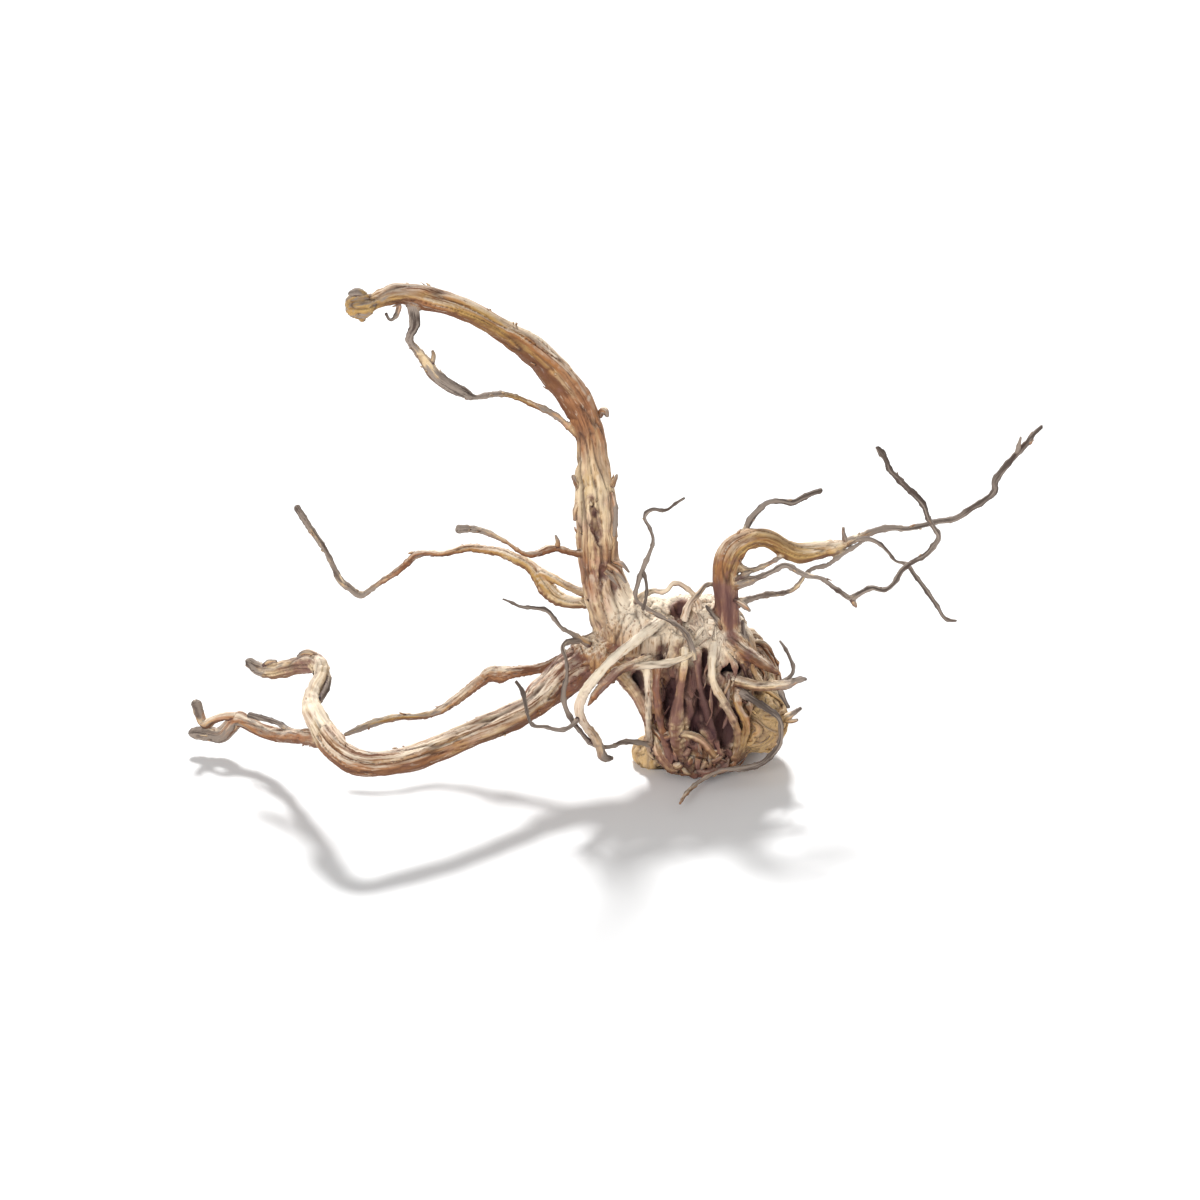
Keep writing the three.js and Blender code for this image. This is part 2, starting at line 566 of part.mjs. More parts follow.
function spurs(name, { line }) {
  const random = numbersFrom(11 + name.length);
  const curve = new THREE.CatmullRomCurve3(line.map(placed), false, "centripetal");
  const frames = curve.computeFrenetFrames(line.length - 1, false);
  return Array.from({ length: SPURS.perLimb[name] }, () => {
    const at = 0.16 + 0.8 * random();
    const place = curve.getUtoTmapping(at) * (line.length - 1);
    const before = Math.min(Math.floor(place), line.length - 2);
    const carrier = THREE.MathUtils.lerp(line[before][3], line[before + 1][3], place - before);
    const angle = random() * 2 * Math.PI;
    const [length, radius] = [between(SPUR_LENGTH, random()), between(SPUR_RADIUS, random())];
    const frame = Math.round(at * (line.length - 1));
    const outward = new THREE.Vector3()
      .addScaledVector(frames.normals[frame], Math.cos(angle))
      .addScaledVector(frames.binormals[frame], Math.sin(angle))
      .addScaledVector(curve.getTangentAt(at), 0.7)
      .normalize();
    const whole = length + carrier;
    const cone = new THREE.ConeGeometry(Math.min(radius, 0.6 * carrier), whole, SPURS.sides);
    cone.translate(0, whole / 2, 0);
    cone.applyQuaternion(new THREE.Quaternion().setFromUnitVectors(new THREE.Vector3(0, 1, 0), outward));
    cone.translate(...curve.getPointAt(at).toArray());
    return solidOf(cone);
  });
}

function joined(solids) {
  return solids.reduce((whole, solid) => whole.add(solid));
}

function driftwood() {
  const core = joined(Object.values(LUMPS).map((shape) => lump(shape, LUMP_DETAIL, KNOBBLE)));
  const stem = joined(Object.values(STEM).map(trueToSize).map(limb));
  const hollows = joined(Object.values(HOLLOWS).map((shape) => lump(shape, HOLLOW_DETAIL, 0)));
  const growths = [LIMBS, TWIGS, ROOTS].flatMap((group) => Object.values(group).map(trueToSize).map(limb));
  const everyLimb = { ...STEM, ...LIMBS };
  const snapped = Object.keys(SPURS.perLimb).flatMap((name) => spurs(name, everyLimb[name]));
  const below = solidOf(new THREE.BoxGeometry(2 * FLOOR_CUT, 2 * FLOOR_CUT, FLOOR_CUT).translate(0, 0, -FLOOR_CUT / 2));
  return core
    .add(stem)
    .subtract(hollows)
    .add(joined([...growths, ...crownRoots(), ...snapped]))
    .subtract(below);
}

// The outer skin of a solid: pockets sealed inside it, where roots close over the crown, are left solid wood.
function outerSkin({ vertProperties, triVerts }) {
  const parent = Array.from({ length: vertProperties.length / 3 }, (_, i) => i);
  const rootOf = (i) => {
    while (parent[i] !== i) i = parent[i] = parent[parent[i]];
    return i;
  };
  for (let i = 0; i < triVerts.length; i += 3) {
    parent[rootOf(triVerts[i + 1])] = rootOf(triVerts[i]);
    parent[rootOf(triVerts[i + 2])] = rootOf(triVerts[i]);
  }
  const outermost = rootOf(parent.reduce((best, _, i) => (vertProperties[3 * i] > vertProperties[3 * best] ? i : best), 0));
  return triVerts.filter((_, i) => rootOf(triVerts[3 * Math.floor(i / 3)]) === outermost);
}

function meshOf(solid, name) {
  const skin = solid.getMesh();
  const geometry = new THREE.BufferGeometry();
  geometry.setAttribute("position", new THREE.BufferAttribute(skin.vertProperties, 3));
  geometry.setIndex(new THREE.BufferAttribute(outerSkin(skin), 1));
  geometry.computeVertexNormals();
  const wood = new THREE.MeshStandardMaterial({ color: WOOD_COLOUR, roughness: 0.82, metalness: 0 });
  const mesh = new THREE.Mesh(geometry, wood);
  mesh.name = name;
  return mesh;
}

const piece = new THREE.Group();
piece.add(meshOf(driftwood(), "driftwood"));

export default piece;
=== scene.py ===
# %% [markdown]
# # A piece of driftwood
# This is the root crown of a shrub, with the stem, limbs, twigs and roots that grew from it. The bark is
# gone, sun and water have bleached the wood, and grit has worn the soft wood away between the harder
# lines of grain. All of it grew as one piece. So each limb is drawn as a curve, the crown gets its
# swollen mass, and one remesh lets the thick wood flow together. Grain, cracks and pits are then carved
# into that skin. The thin twigs and roots are kept out of the remesh, because it would eat them, and
# stand with their ends sunk in the thick wood.

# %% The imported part
import math
import bpy
import numpy as np
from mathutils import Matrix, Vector, noise
from mathutils.bvhtree import BVHTree
from mathutils.geometry import interpolate_bezier
from mathutils.kdtree import KDTree


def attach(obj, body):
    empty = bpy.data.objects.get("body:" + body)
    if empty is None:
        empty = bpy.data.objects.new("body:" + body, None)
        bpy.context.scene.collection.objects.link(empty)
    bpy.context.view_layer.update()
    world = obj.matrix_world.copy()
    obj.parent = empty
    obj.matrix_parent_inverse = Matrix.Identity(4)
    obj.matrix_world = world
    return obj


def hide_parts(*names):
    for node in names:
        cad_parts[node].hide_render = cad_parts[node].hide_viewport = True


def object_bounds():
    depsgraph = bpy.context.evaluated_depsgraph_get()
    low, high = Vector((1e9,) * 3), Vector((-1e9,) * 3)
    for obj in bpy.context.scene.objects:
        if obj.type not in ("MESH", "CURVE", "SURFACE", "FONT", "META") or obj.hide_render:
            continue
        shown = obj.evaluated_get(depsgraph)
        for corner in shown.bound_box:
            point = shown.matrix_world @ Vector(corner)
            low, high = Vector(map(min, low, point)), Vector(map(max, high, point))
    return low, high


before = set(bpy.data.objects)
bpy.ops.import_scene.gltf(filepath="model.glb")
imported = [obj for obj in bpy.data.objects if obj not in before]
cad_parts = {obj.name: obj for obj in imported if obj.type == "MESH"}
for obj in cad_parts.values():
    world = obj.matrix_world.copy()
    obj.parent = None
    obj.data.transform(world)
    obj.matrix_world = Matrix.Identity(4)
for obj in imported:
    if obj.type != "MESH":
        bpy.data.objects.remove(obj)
CAD_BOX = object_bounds()
MM = 0.001
print("The solid's box in mm:", [[round(c / MM, 1) for c in corner] for corner in CAD_BOX])


# %% Small tools
def deselect_all():
    if bpy.context.object and bpy.context.object.mode != "OBJECT":
        bpy.ops.object.mode_set(mode="OBJECT")
    bpy.ops.object.select_all(action="DESELECT")


def select_only(*objects):
    deselect_all()
    for each in objects:
        each.select_set(True)
    bpy.context.view_layer.objects.active = objects[0]
    return objects[0]


def join(objects, name):
    whole = select_only(*objects)
    if len(objects) > 1:
        bpy.ops.object.join()
    whole.name = name
    whole.data.name = name
    return whole


def apply_modifier(piece, kind, **settings):
    select_only(piece)
    bpy.ops.object.modifier_add(type=kind)
    modifier = piece.modifiers[-1]
    for key, value in settings.items():
        setattr(modifier, key, value)
    bpy.ops.object.modifier_apply(modifier=modifier.name)


def settle(piece):
    """Puts the piece's place, turn and size into its mesh, so that its object sits at the origin."""
    select_only(piece)
    bpy.ops.object.transform_apply(location=True, rotation=True, scale=True)


def places_of(piece):
    flat = np.empty(3 * len(piece.data.vertices), dtype=np.float32)
    piece.data.vertices.foreach_get("co", flat)
    return flat.reshape(-1, 3)


def move_to(piece, places):
    piece.data.vertices.foreach_set("co", np.asarray(places, dtype=np.float32).ravel())
    piece.data.update()


def normals_of(piece):
    flat = np.empty(3 * len(piece.data.vertices), dtype=np.float32)
    piece.data.vertex_normals.foreach_get("vector", flat)
    return flat.reshape(-1, 3)


def triangles_in(piece):
    return len(piece.data.loops) - 2 * len(piece.data.polygons)


# %% [markdown]
# ## The camera
# The photograph was taken from in front and a little above, through a long lens, which keeps the near
# limb from swelling. A tilt of 22 degrees fits the ground shadows and the way the crown hides its own
# foot. A long lens of about 108 mm, 1.8 m away, gives the same flat perspective.

# %% Camera
VIEW_TILT = math.radians(22)
VIEW_DISTANCE = 1800 * MM
PICTURE_WIDTH = 600 * MM
AIM_ACROSS = -50 * MM
AIM_RISE = 82 * MM
SIN, COS = math.sin(VIEW_TILT), math.cos(VIEW_TILT)

aim = Vector((AIM_ACROSS, AIM_RISE * SIN, AIM_RISE * COS))
deselect_all()
bpy.ops.object.camera_add(
    location=aim - VIEW_DISTANCE * Vector((0, COS, -SIN)),
    rotation=(math.pi / 2 - VIEW_TILT, 0, 0),
)
camera = bpy.context.object
camera.name = "camera"
camera.data.sensor_width = 36
camera.data.lens = camera.data.sensor_width * VIEW_DISTANCE / PICTURE_WIDTH
camera.data.clip_start = 50 * MM
camera.data.clip_end = 60
bpy.context.scene.camera = camera
print("Lens in mm:", round(camera.data.lens, 1))

# %% [markdown]
# ## Floor and light
# The piece stands on white paper so bright that it runs out to pure white. A high key light stands
# behind it, so the soft shadow falls towards the viewer, and lights the wood's upper edges. A weaker,
# lower light from in front and a little to the left shows the near side. The white room fills the rest,
# but not so much that it washes out the shadows.

# %% Floor and light
FLOOR_SIDE = 24
deselect_all()
bpy.ops.mesh.primitive_plane_add(size=FLOOR_SIDE)
floor = bpy.context.object
floor.name = "floor"


def add_sun(name, towards_viewer, to_the_right, down, strength, softness):
    """A distant light whose rays run by these amounts."""
    deselect_all()
    rays = Vector((to_the_right, -towards_viewer, -down))
    bpy.ops.object.light_add(type="SUN", rotation=rays.to_track_quat("-Z", "Y").to_euler())
    light = bpy.context.object
    light.name = name
    light.data.energy = strength
    light.data.angle = math.radians(softness)
    return light


key_light = add_sun("key_light", towards_viewer=1.05, to_the_right=0.1, down=1, strength=3.9, softness=10)
front_light = add_sun(
    "front_light", towards_viewer=-2.6, to_the_right=0.9, down=1, strength=1.45, softness=20
)

room = bpy.data.worlds.new("white_room")
bpy.context.scene.world = room
room.use_nodes = True
room.node_tree.nodes["Background"].inputs["Color"].default_value = (1, 1, 1, 1)
room.node_tree.nodes["Background"].inputs["Strength"].default_value = 0.42
bpy.context.scene.view_settings.view_transform = "Standard"
print("Lights:", key_light.name, front_light.name)

# %% [markdown]
# ## The limbs, as measured
# Each line below runs down the middle of one limb, as (across, rise, depth, radius) in millimetres.
# Across and rise are what the camera sees, from the foot of the crown. Depth is how far back the wood
# lies, which the two shadows on the ground tell. A function turns each place into a real one. A
# photograph's soft edges make thin wood look thicker than it is. Such widths add as squares, so the
# softness is taken off in the same way, and a twig keeps about three quarters of what was measured.

# %% Where the camera sees each place
def placed(across, rise, depth):
    across, rise, depth = across * MM, rise * MM, depth * MM
    beyond = (depth - rise * SIN) / (COS + (rise - AIM_RISE) * SIN / VIEW_DISTANCE)
    farther = 1 + beyond / VIEW_DISTANCE
    height = AIM_RISE + farther * (rise - AIM_RISE)
    return Vector((AIM_ACROSS + farther * (across - AIM_ACROSS), depth, height * COS - beyond * SIN))


EDGE_SOFTNESS = 1.5
THINNEST_SHARE = 0.74


def true_radius(measured):
    return MM * math.sqrt(max(measured**2 - EDGE_SOFTNESS**2, (THINNEST_SHARE * measured) ** 2))


print("The crown's foot:", tuple(round(c / MM, 2) for c in placed(0, 0, 0)))
print("A twig that measures 2 mm is", round(true_radius(2) / MM, 2), "mm in radius")

# %% Measured limbs
STEM = {
    "trunk": [
        (-24, 46, 2, 17), (-34, 62, 6, 16), (-43, 77, 8, 13.2), (-48.5, 92, 10, 11),
        (-51, 108, 11, 10.2), (-52, 124.5, 12, 10.4), (-52.5, 138, 13, 9.8), (-54, 152, 13, 7.8),
        (-56, 167, 12, 7.2), (-61, 180, 10, 7.6), (-71, 194, 6, 7.6), (-83.5, 206.5, 0, 7),
        (-102.5, 219, -8, 5.4), (-121.5, 228.5, -15, 5.8), (-135, 232.5, -19, 6),
        (-146, 235, -22, 5.6), (-155, 234.5, -25, 5), (-163, 231.5, -27, 4), (-168.5, 229.8, -29, 6.5),
        (-173.5, 229, -30, 6),
    ],
    "right_stem": [
        (11, 37, -2, 8.5), (12.5, 48, -2, 8), (13.5, 59.5, -3, 7.2), (13.5, 72, -4, 6.3),
        (13.5, 83, -4, 6.5), (12.5, 93.5, -4, 6.6), (13.5, 102, -4, 6.6), (16.5, 107.5, -2, 6.4),
        (22, 111.5, 0, 5.8), (28.5, 113.2, 3, 5), (35.5, 112, 6, 4.7), (41, 108.5, 8, 4.9),
        (47, 105.8, 10, 5.4), (53.5, 105.8, 13, 5.5), (60, 107, 15, 5), (65.5, 108, 17, 4.4),
        (71, 109.5, 19, 3.3),
    ],
}

LIMBS = {
    "front_limb": [
        (-37.5, 59.5, 4, 14), (-51.5, 53, 2, 12), (-62.5, 47, -4, 10), (-72.5, 40, -13, 9),
        (-86, 28, -31, 6.8), (-100, 20.5, -46, 6.6), (-115, 14.5, -60, 6.6), (-131, 8, -73, 6.3),
        (-147.5, 2, -84, 6.4), (-161, 0, -91, 6), (-171, 0.6, -93, 6.5), (-179, 5, -87, 6.5),
        (-184.8, 11.5, -77, 6.5), (-189, 18, -66, 5.8),
    ],
    "front_limb_fork": [
        (-187, 14, -73, 6), (-192.5, 24, -59, 5.8), (-194.5, 31, -50, 4.8), (-192.6, 38, -42, 4.1),
        (-189.8, 43.5, -35, 4), (-190.8, 49.6, -27, 5.2), (-197.5, 50, -20, 4.9),
        (-205, 48.3, -14, 4.5), (-214, 46.5, -8, 4.1), (-220, 47.3, -4, 3.7), (-225.5, 51, -1, 3),
    ],
    "front_limb_tip": [
        (-182, 11.5, -76, 5.2), (-191, 13, -52, 4.8), (-201, 13.8, -30, 4.2), (-210, 14.5, -12, 4),
        (-219, 17, 1, 3.9), (-226, 20.6, 8, 3.9), (-231, 22.4, 11, 4.1), (-235, 18.5, 12, 4.4),
        (-239.5, 14.5, 12, 4.4), (-244, 14.8, 13, 4.2), (-250, 15.5, 15, 3.9),
        (-254.2, 15.5, 15.8, 3),
    ],
    "front_limb_prong": [
        (-232, 23.5, 11, 3), (-238, 23.8, 10, 2.6), (-243.5, 22, 11, 2.6), (-247.8, 20.5, 13, 3),
        (-250, 24.5, 14, 2.8), (-251.2, 28, 14, 3), (-252, 30.5, 15, 3.2),
    ],
    "upper_left_root": [
        (-57.5, 58, 0, 4.5), (-70, 52, 3, 3.4), (-77.5, 48.5, 5, 3), (-85, 47, 7, 3.1),
        (-93, 46, 8, 3.4), (-100, 44.8, 9, 4.7), (-105, 44.8, 9, 4.4), (-109, 42, 9, 3.4),
        (-116, 36.6, 8, 3.1), (-124, 30.6, 5, 2.9), (-132, 26, 2, 2.5), (-141, 24, -1, 2.4),
        (-151, 23.5, -4, 2.4), (-160, 21.5, -7, 2.4), (-168, 18.5, -9, 2.5), (-177, 14.7, -11, 2),
    ],
    "back_limb": [
        (-47.5, 82, 14, 4), (-58.5, 80.5, 20, 3.4), (-65, 81, 25, 3.4), (-72, 83.5, 29, 4.2),
        (-77, 88.5, 32, 4.8), (-80.5, 94, 35, 4.3), (-85, 99, 38, 3.6), (-92, 102.5, 42, 3.1),
        (-100, 106, 47, 2.8), (-107.5, 107, 51, 2.7), (-115, 108, 55, 2.6), (-122.5, 106.5, 59, 2.2),
        (-129, 105, 62, 2.1), (-136, 105.5, 65, 2), (-142, 104.5, 67, 2.4), (-147, 100, 69, 2.2),
        (-153, 95, 71, 2.3), (-159, 91.5, 73, 2.1), (-165, 87, 75, 2.1), (-169.5, 84.5, 77, 2.4),
        (-175, 88, 79, 2.3), (-179.5, 91.5, 80, 2.3), (-183, 98.5, 82, 2), (-187.5, 107, 85, 2.2),
        (-193.5, 116, 88, 2.2), (-198.5, 124, 91, 2.3), (-201.5, 128.5, 93, 2.5),
    ],
    "back_limb_web": [
        (-48, 86, 12, 3.6), (-58.5, 86, 18, 2.8), (-66, 89, 24, 2.4), (-72.5, 92.5, 29, 2.5),
        (-79, 95.5, 33, 2.8),
    ],
    "mid_limb": [
        (-50, 104, 10, 3.4), (-58.5, 105, 6, 2.3), (-65, 106, 3, 2), (-71, 108, 1, 2),
        (-76, 107.5, -1, 2.4), (-81, 105.5, -3, 2), (-86.5, 105, -5, 1.8), (-91, 107, -6, 1.7),
        (-96, 110.5, -8, 1.6), (-101.5, 113.5, -10, 1.8), (-107, 116, -12, 2.1),
        (-113.5, 117.5, -14, 2.2), (-121, 117.5, -16, 2.6),
    ],
    "hanging_loop": [
        (-58, 162, 10, 3), (-64, 167, 8, 2), (-70, 172.5, 6, 1.9), (-77, 177, 3, 2),
        (-85, 180.5, -1, 1.8), (-92.5, 183.5, -5, 1.9), (-100, 185, -9, 2), (-106.5, 184.5, -12, 1.8),
        (-112, 183.5, -14, 1.7), (-119, 186, -17, 3), (-126.5, 190, -19, 3.5), (-133, 195, -21, 3.6),
        (-137, 201, -22, 3.2), (-141, 206.5, -23, 2.4), (-145, 211.5, -23, 2), (-144.5, 215, -24, 2.4),
        (-142.5, 219.5, -24, 2.9), (-143, 226, -23, 3.1), (-144.5, 232.5, -22, 3.4),
    ],
}

TWIGS = {
    "far_twig": [
        (67, 108.5, 18, 3.2), (71, 109.5, 19, 3), (76.5, 112, 20, 2.4), (82.5, 114.5, 22, 2.1),
        (89, 117, 24, 2), (96, 118, 26, 2), (103.5, 117.5, 28, 1.9), (111, 119, 29, 1.9),
        (118.5, 121, 30, 1.9), (127.5, 122.5, 31, 2), (135, 127.5, 32, 1.9), (142.5, 132, 33, 2.1),
        (147, 136.5, 34, 2.3), (147.5, 141.5, 34, 2.2), (150.5, 146, 35, 2), (156, 152.5, 36, 1.9),
        (160, 157, 37, 2.1), (163, 160, 37, 2.2), (166.5, 164.5, 38, 1.6), (171, 168.5, 39, 1.2),
    ],
    "crossing_twig": [
        (18, 90.5, -6, 3.6), (24, 91.5, -10, 2.8), (30, 93.4, -14, 2.2), (36.5, 96.4, -17, 1.9),
        (43, 99.5, -20, 1.9), (48.5, 96.5, -22, 1.8), (54.5, 94, -24, 1.7), (60.5, 93, -26, 1.7),
        (66, 89, -28, 2), (71, 85.5, -30, 1.9), (75, 83, -32, 2), (80.5, 85.5, -33, 1.7),
        (86, 88, -34, 1.8), (92, 87, -35, 1.7), (97, 90.5, -36, 1.7), (101, 97, -37, 1.6),
        (106, 101, -38, 1.7), (112.5, 104.5, -39, 1.7), (117, 109.5, -40, 1.8), (119.5, 114, -41, 1.9),
        (117, 118.5, -41, 1.8), (114, 123.5, -42, 1.7), (112, 129, -43, 1.8), (109, 133, -43, 1.9),
        (103.5, 138, -44, 1.9), (98.5, 143.5, -45, 1.9), (95, 147, -45, 1.8), (93, 152.5, -46, 1.7),
        (90.5, 156, -46, 2.1), (88.5, 158.5, -47, 1.5),
    ],
    "returning_twig": [
        (17, 80, -2, 3.4), (25, 82.5, 0, 1.9), (32.5, 84.8, 2, 1.7), (40, 85.5, 4, 1.6),
        (46, 87, 6, 1.6), (50, 91, 8, 1.6), (53, 95, 9, 1.5), (57, 98, 11, 1.6), (63, 99.2, 13, 1.7),
        (68, 102.5, 15, 1.6), (73, 106, 17, 1.6), (79, 109.5, 19, 1.3), (84, 113.5, 22, 1.5),
    ],
    "drooping_twig": [
        (76, 111.5, 20, 1.6), (83, 112.5, 17, 1.4), (89, 110.5, 14, 1.4), (94, 106, 11, 1.4),
        (98, 101.5, 9, 1.4), (103, 100, 7, 1.5), (107.5, 94.5, 5, 1.3), (113, 87, 3, 1.3),
        (118.5, 79, 1, 1.2), (123, 72.5, -1, 1.2), (128, 71.5, -2, 0.9),
    ],
    "rising_twig": [
        (17.5, 109.5, 0, 2.2), (22.5, 117, 4, 1.8), (25, 122, 7, 2), (29.5, 127, 10, 1.9),
        (34, 130.5, 13, 1.7), (40, 131.5, 16, 1.7), (46, 131, 19, 1.7), (51.5, 133.5, 22, 1.8),
        (56.5, 135.5, 24, 1.7), (60.5, 136.5, 26, 1.4),
    ],
    "brace_twig": [
        (18, 99.5, -4, 3.4), (24, 97, -5, 2.2), (31, 98.8, -3, 1.6), (37.5, 102, 2, 1.7),
        (43.5, 105.5, 8, 2),
    ],
    "crown_twig": [
        (-3, 52, -24, 2.4), (-4.5, 59.5, -22, 2), (-8.5, 66.5, -19, 1.6), (-14, 71, -16, 1.4),
        (-21, 74.5, -14, 1.3), (-27.5, 78.5, -12, 1.3), (-32, 83, -11, 1.3), (-31, 90, -10, 1.5),
        (-28.5, 98, -9, 1.7), (-25.5, 105, -8, 1.5), (-23.5, 112, -8, 1.3), (-25, 118, -7, 1.2),
        (-27.5, 123.5, -6, 1.2), (-24.5, 127, -7, 1.2), (-17, 127, -9, 1.1), (-12, 130.5, -11, 1),
        (-8, 133, -13, 0.8),
    ],
    "crown_twig_fork": [
        (-29, 97.5, -9, 1.4), (-27, 91, -12, 1.1), (-27, 84, -14, 1.1), (-28.5, 77.5, -12, 1.3),
    ],
    "left_twig": [
        (-55, 59.5, -8, 2.2), (-64.5, 65.5, -14, 1.7), (-69, 68, -17, 1.2), (-72.5, 72, -19, 1.2),
        (-76.5, 76.5, -21, 1.2), (-82.5, 78, -23, 1.2), (-90, 79, -26, 1.1), (-94.5, 81, -28, 1),
        (-98.5, 82.5, -30, 0.8),
    ],
    "fork_twig": [
        (-204, 16, -22, 1.9), (-211, 20.5, -12, 1.8), (-218, 22.5, -4, 1.8), (-225, 24.5, 3, 1.5),
    ],
    "fork_stub": [
        (-189, 50, -28, 2.4), (-186.5, 44, -34, 2.2), (-186.8, 38, -42, 2.1), (-190, 32, -50, 2),
    ],
    "tip_hook": [
        (-150.5, 232, -24, 2.2), (-151, 227, -26, 1.8), (-152.5, 223.5, -28, 1.3), (-155, 222, -30, 1),
        (-157, 225, -31, 0.7),
    ],
    "tip_prong_top": [
        (-166, 232, -29, 3.2), (-171, 235.5, -31, 2.5), (-175, 235.2, -32, 2),
    ],
    "tip_prong_low": [
        (-166, 227, -28, 3), (-168.5, 224, -27, 2.5), (-169, 222.5, -26, 1.8),
    ],
}

